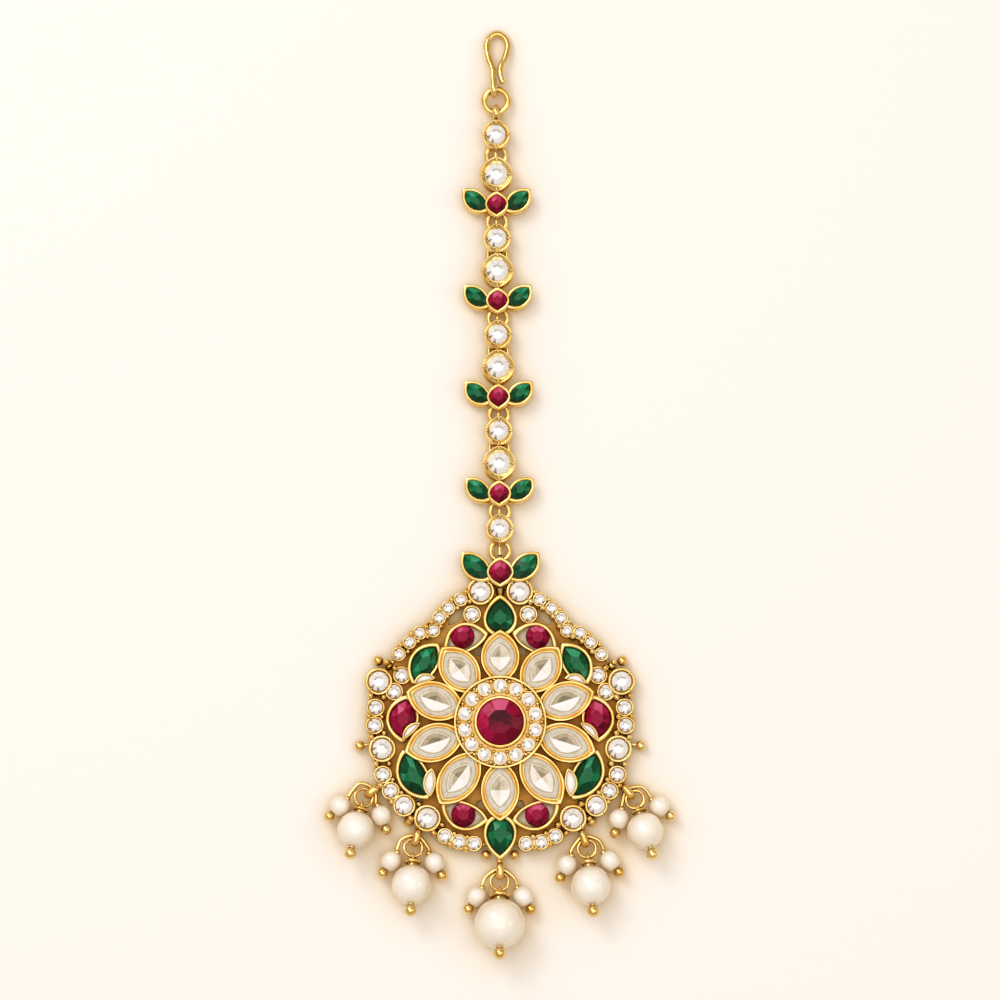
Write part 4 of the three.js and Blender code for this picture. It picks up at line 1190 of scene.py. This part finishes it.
def addDropBail(bails, root, ring, up):  # soldered to the pendant
    reach = drop["ringRadius"] + drop["step"]
    middle = ring + up * (drop["ringRadius"] + drop["step"] / 2)
    near = ring + up * (reach + drop["wire"] / 2 + chain["linkGap"] + drop["bailWire"] / 2)
    path = bailPath(middle.x, middle.y, drop["bailWire"], drop["wire"], drop["height"], drop["step"] / 2, up)
    addWires(bails, [path], drop["bailTube"], sides=14)
    addRod(bails, over(near, drop["height"]),
           over(root + up * drop["foot"], pendant["plate"] + 0.1), drop["bailTube"])


def makeDropRing(name, ring, up, tilt):  # its lower side is lifted on the drop's loop
    hinge = ring + up * drop["ringRadius"]
    points = []
    for a in around(32):
        along = drop["ringRadius"] * (cos(a) - 1)
        across = drop["ringRadius"] * sin(a)
        p = hinge + up * along * cos(tilt) + Vector((-up.y, up.x)) * across
        points.append(over(p, drop["height"] - along * sin(tilt)))
    shell = newShell()
    addWires(shell, [(points, True)], drop["ringWire"])
    addPiece(f"drop_{name}_link", shell, wireGold, [f"drop_{name}_ring"])


def addCap(pin, heart, axis, size, room):  # a bead shaped cap between the pearl and its loop
    lift = Vector((0, 0, 1)).rotation_difference(-axis)
    cap = drop["capShare"] * size
    face, thick = size + 0.42 * room, 0.25 * room
    profile = [(cap * 0.6, size * 0.93), (cap * 0.62, face - thick)]
    for i in range(9):
        a = pi * i / 8
        profile.append((cap - 0.3 + 0.3 * sin(a), face - thick * cos(a)))
    profile += [(0.42, face + thick + 0.06), (0.15, face + thick + 0.12)]
    addLoft(pin, [[
        heart + lift @ Vector((radius * cos(a) * mm, radius * sin(a) * mm, height * mm)) for a in around(40)]
        for radius, height in profile])


def makeMainPearl(name, ring, down, size, reach, tilt):  # on its pin, with a cap, a loop and an end ball
    loop = over(ring + down * drop["ringRadius"] * 0.97, drop["height"] + 2 * drop["ringRadius"] * sin(tilt) * 0.95)
    heart = over(ring + down * reach, size)
    axis = (heart - loop).normalized()
    pin, bead = newShell(), newShell()
    addCap(pin, heart, axis, size, (loop - heart).length / mm - size)
    gap = (drop["wire"] + chain["linkGap"]) * mm
    addRod(pin, heart - axis * (size * mm), loop + axis * gap, drop["wire"] * 1.2)
    side = Vector((-down.y, down.x, 0))
    addWires(pin, [([loop + Quaternion(side, a) @ (axis * gap) for a in around(20)], True)], drop["wire"])
    addForms(pin, grainForm, [
        evenly(heart + axis * ((size + drop["endBall"]) * mm), drop["endBall"]),
        evenly(heart + axis * ((size + 0.02) * mm), drop["grain"])])
    addPiece(f"drop_{name}_pin", pin, gold, [f"drop_{name}_pearl"])
    addForms(bead, pearlForm, [evenly(heart, size, pearlTurn)], pearl)
    addPiece(f"drop_{name}_bead", bead, pearl)


def makeSmallPearls(name, ring, up, down, spread):  # at the ends of a wire that lies over the ring
    q, ball = drop["smallPearl"], drop["smallBall"]
    turn, lean = radians(drop["smallAngle"]), radians(drop["pinAngle"])
    right = Vector((-down.y, down.x))
    grains, smalls, ends, shoulders = [], [], [], []
    for way in (-1, 1):
        p = ring + right * way * spread * sin(turn) + down * spread * cos(turn)
        pinWay = right * way * sin(lean) + down * cos(lean)
        smalls.append(evenly(over(p, q), q, pearlTurn))
        grains.append(evenly(over(p + pinWay * (q + ball * 0.8), q), ball))
        grains.append(evenly(over(p - pinWay * (q * 0.97), q), drop["grain"]))
        ends.append(over(p - pinWay * (q * 0.8), q))
        across = Vector((up.y, -up.x)) * way * (drop["ringRadius"] + drop["shoulder"])
        shoulders.append(over(ring + up * drop["ringRadius"] * 0.55 + across, drop["height"]))
    top = over(ring + up * (drop["ringRadius"] + drop["step"]), drop["height"])
    arc, beads = newShell(), newShell()
    addWires(arc, [([ends[0], shoulders[0], top, shoulders[1], ends[1]], False)], drop["arcWire"], steps=14)
    addForms(arc, grainForm, grains)
    addPiece(f"drop_{name}_arc", arc, gold, [f"drop_{name}_pair"])
    addForms(beads, pearlForm, smalls, pearl)
    addPiece(f"drop_{name}_small_beads", beads, pearl)


def makeDrop(name, rootX, rootY, ringX, ringY, lean, pearlShare, reachShare, bails):
    size, reach = pearlShare * drop["pearl"], reachShare * drop["reach"]
    root = Vector((rootX, rootY)) * pendant["radius"]
    ring = root + Vector((ringX, ringY)) * drop["rootToRing"]
    up = (root - ring).normalized()
    down = Vector((sin(radians(lean)), -cos(radians(lean))))
    tilt = radians(drop["tilt"])
    addDropBail(bails, root, ring, up)
    makeDropRing(name, ring, up, tilt)
    makeMainPearl(name, ring, down, size, reach, tilt)
    makeSmallPearls(name, ring, up, down, size * drop["spreadShare"] + drop["spread"])


bailShell = newShell()
for row in dropRows:
    makeDrop(*row, bailShell)
addPiece("drop_bails", bailShell, gold)
for form in (grainForm, pearlForm, bezelForm, brilliantForm, singleForm):
    bpy.data.objects.remove(form)
print("drops made")


studio = {
    "span": 149.7, "lens": 300.0, "sensor": 36, "elevation": 85.0, "aimY": -0.95, "floor": 1.2, "fill": 0.545,
}
lights = [  # name, place, size, power, colour
    ("top", (0.0, -0.04, 0.8), 0.9, 2.7, "#fcfbfd"),
    ("key", (-0.35, 0.4, 0.6), 0.4, 1.8, "#fdfbfc"),
    ("side", (0.6, -0.1, 0.5), 0.3, 0.36, "#ffeed2"),
]


def makeFloor():
    half = studio["floor"] / 2
    mesh = bpy.data.meshes.new("floor")
    mesh.from_pydata([(-half, -half, 0), (half, -half, 0), (half, half, 0), (-half, half, 0)], [], [(0, 1, 2, 3)])
    floor = linked("floor", mesh)
    floor.location.z = -0.2 * mm
    floor.data.materials.append(paper)


def makeLight(name, place, size, power, colour):
    data = bpy.data.lights.new(name, "AREA")
    data.shape = "DISK"
    data.size = size
    data.energy = power
    data.color = linear(colour)[:3]
    lamp = linked(name, data)
    lamp.location = place
    lamp.rotation_euler = (Vector() - Vector(place)).to_track_quat("-Z", "Y").to_euler()


def makeCamera():
    data = bpy.data.cameras.new("camera")
    data.lens = studio["lens"]
    data.sensor_width = studio["sensor"]
    distance = studio["span"] * mm / data.sensor_width * data.lens
    data.clip_start, data.clip_end = 0.05, 20
    camera = linked("camera", data)
    e = radians(studio["elevation"])
    back = Vector((0, -cos(e), sin(e)))
    camera.location = Vector((0, studio["aimY"] * mm, 0)) + back * distance
    camera.rotation_euler = (-back).to_track_quat("-Z", "Y").to_euler()
    bpy.context.scene.camera = camera


makeFloor()
for row in lights:
    makeLight(*row)
makeCamera()
world = bpy.data.worlds.new("studio")
world.use_nodes = True
backdrop = world.node_tree.nodes["Background"]
backdrop.inputs["Color"].default_value = linear("#fff2e2")
backdrop.inputs["Strength"].default_value = studio["fill"]
bpy.context.scene.world = world
bpy.context.scene.view_settings.view_transform = "Standard"
print("studio made")

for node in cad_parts.values():  # whatever part of the frame still shows gets the plated gold
    if not node.hide_render:
        node.data.materials.clear()
        node.data.materials.append(gold)
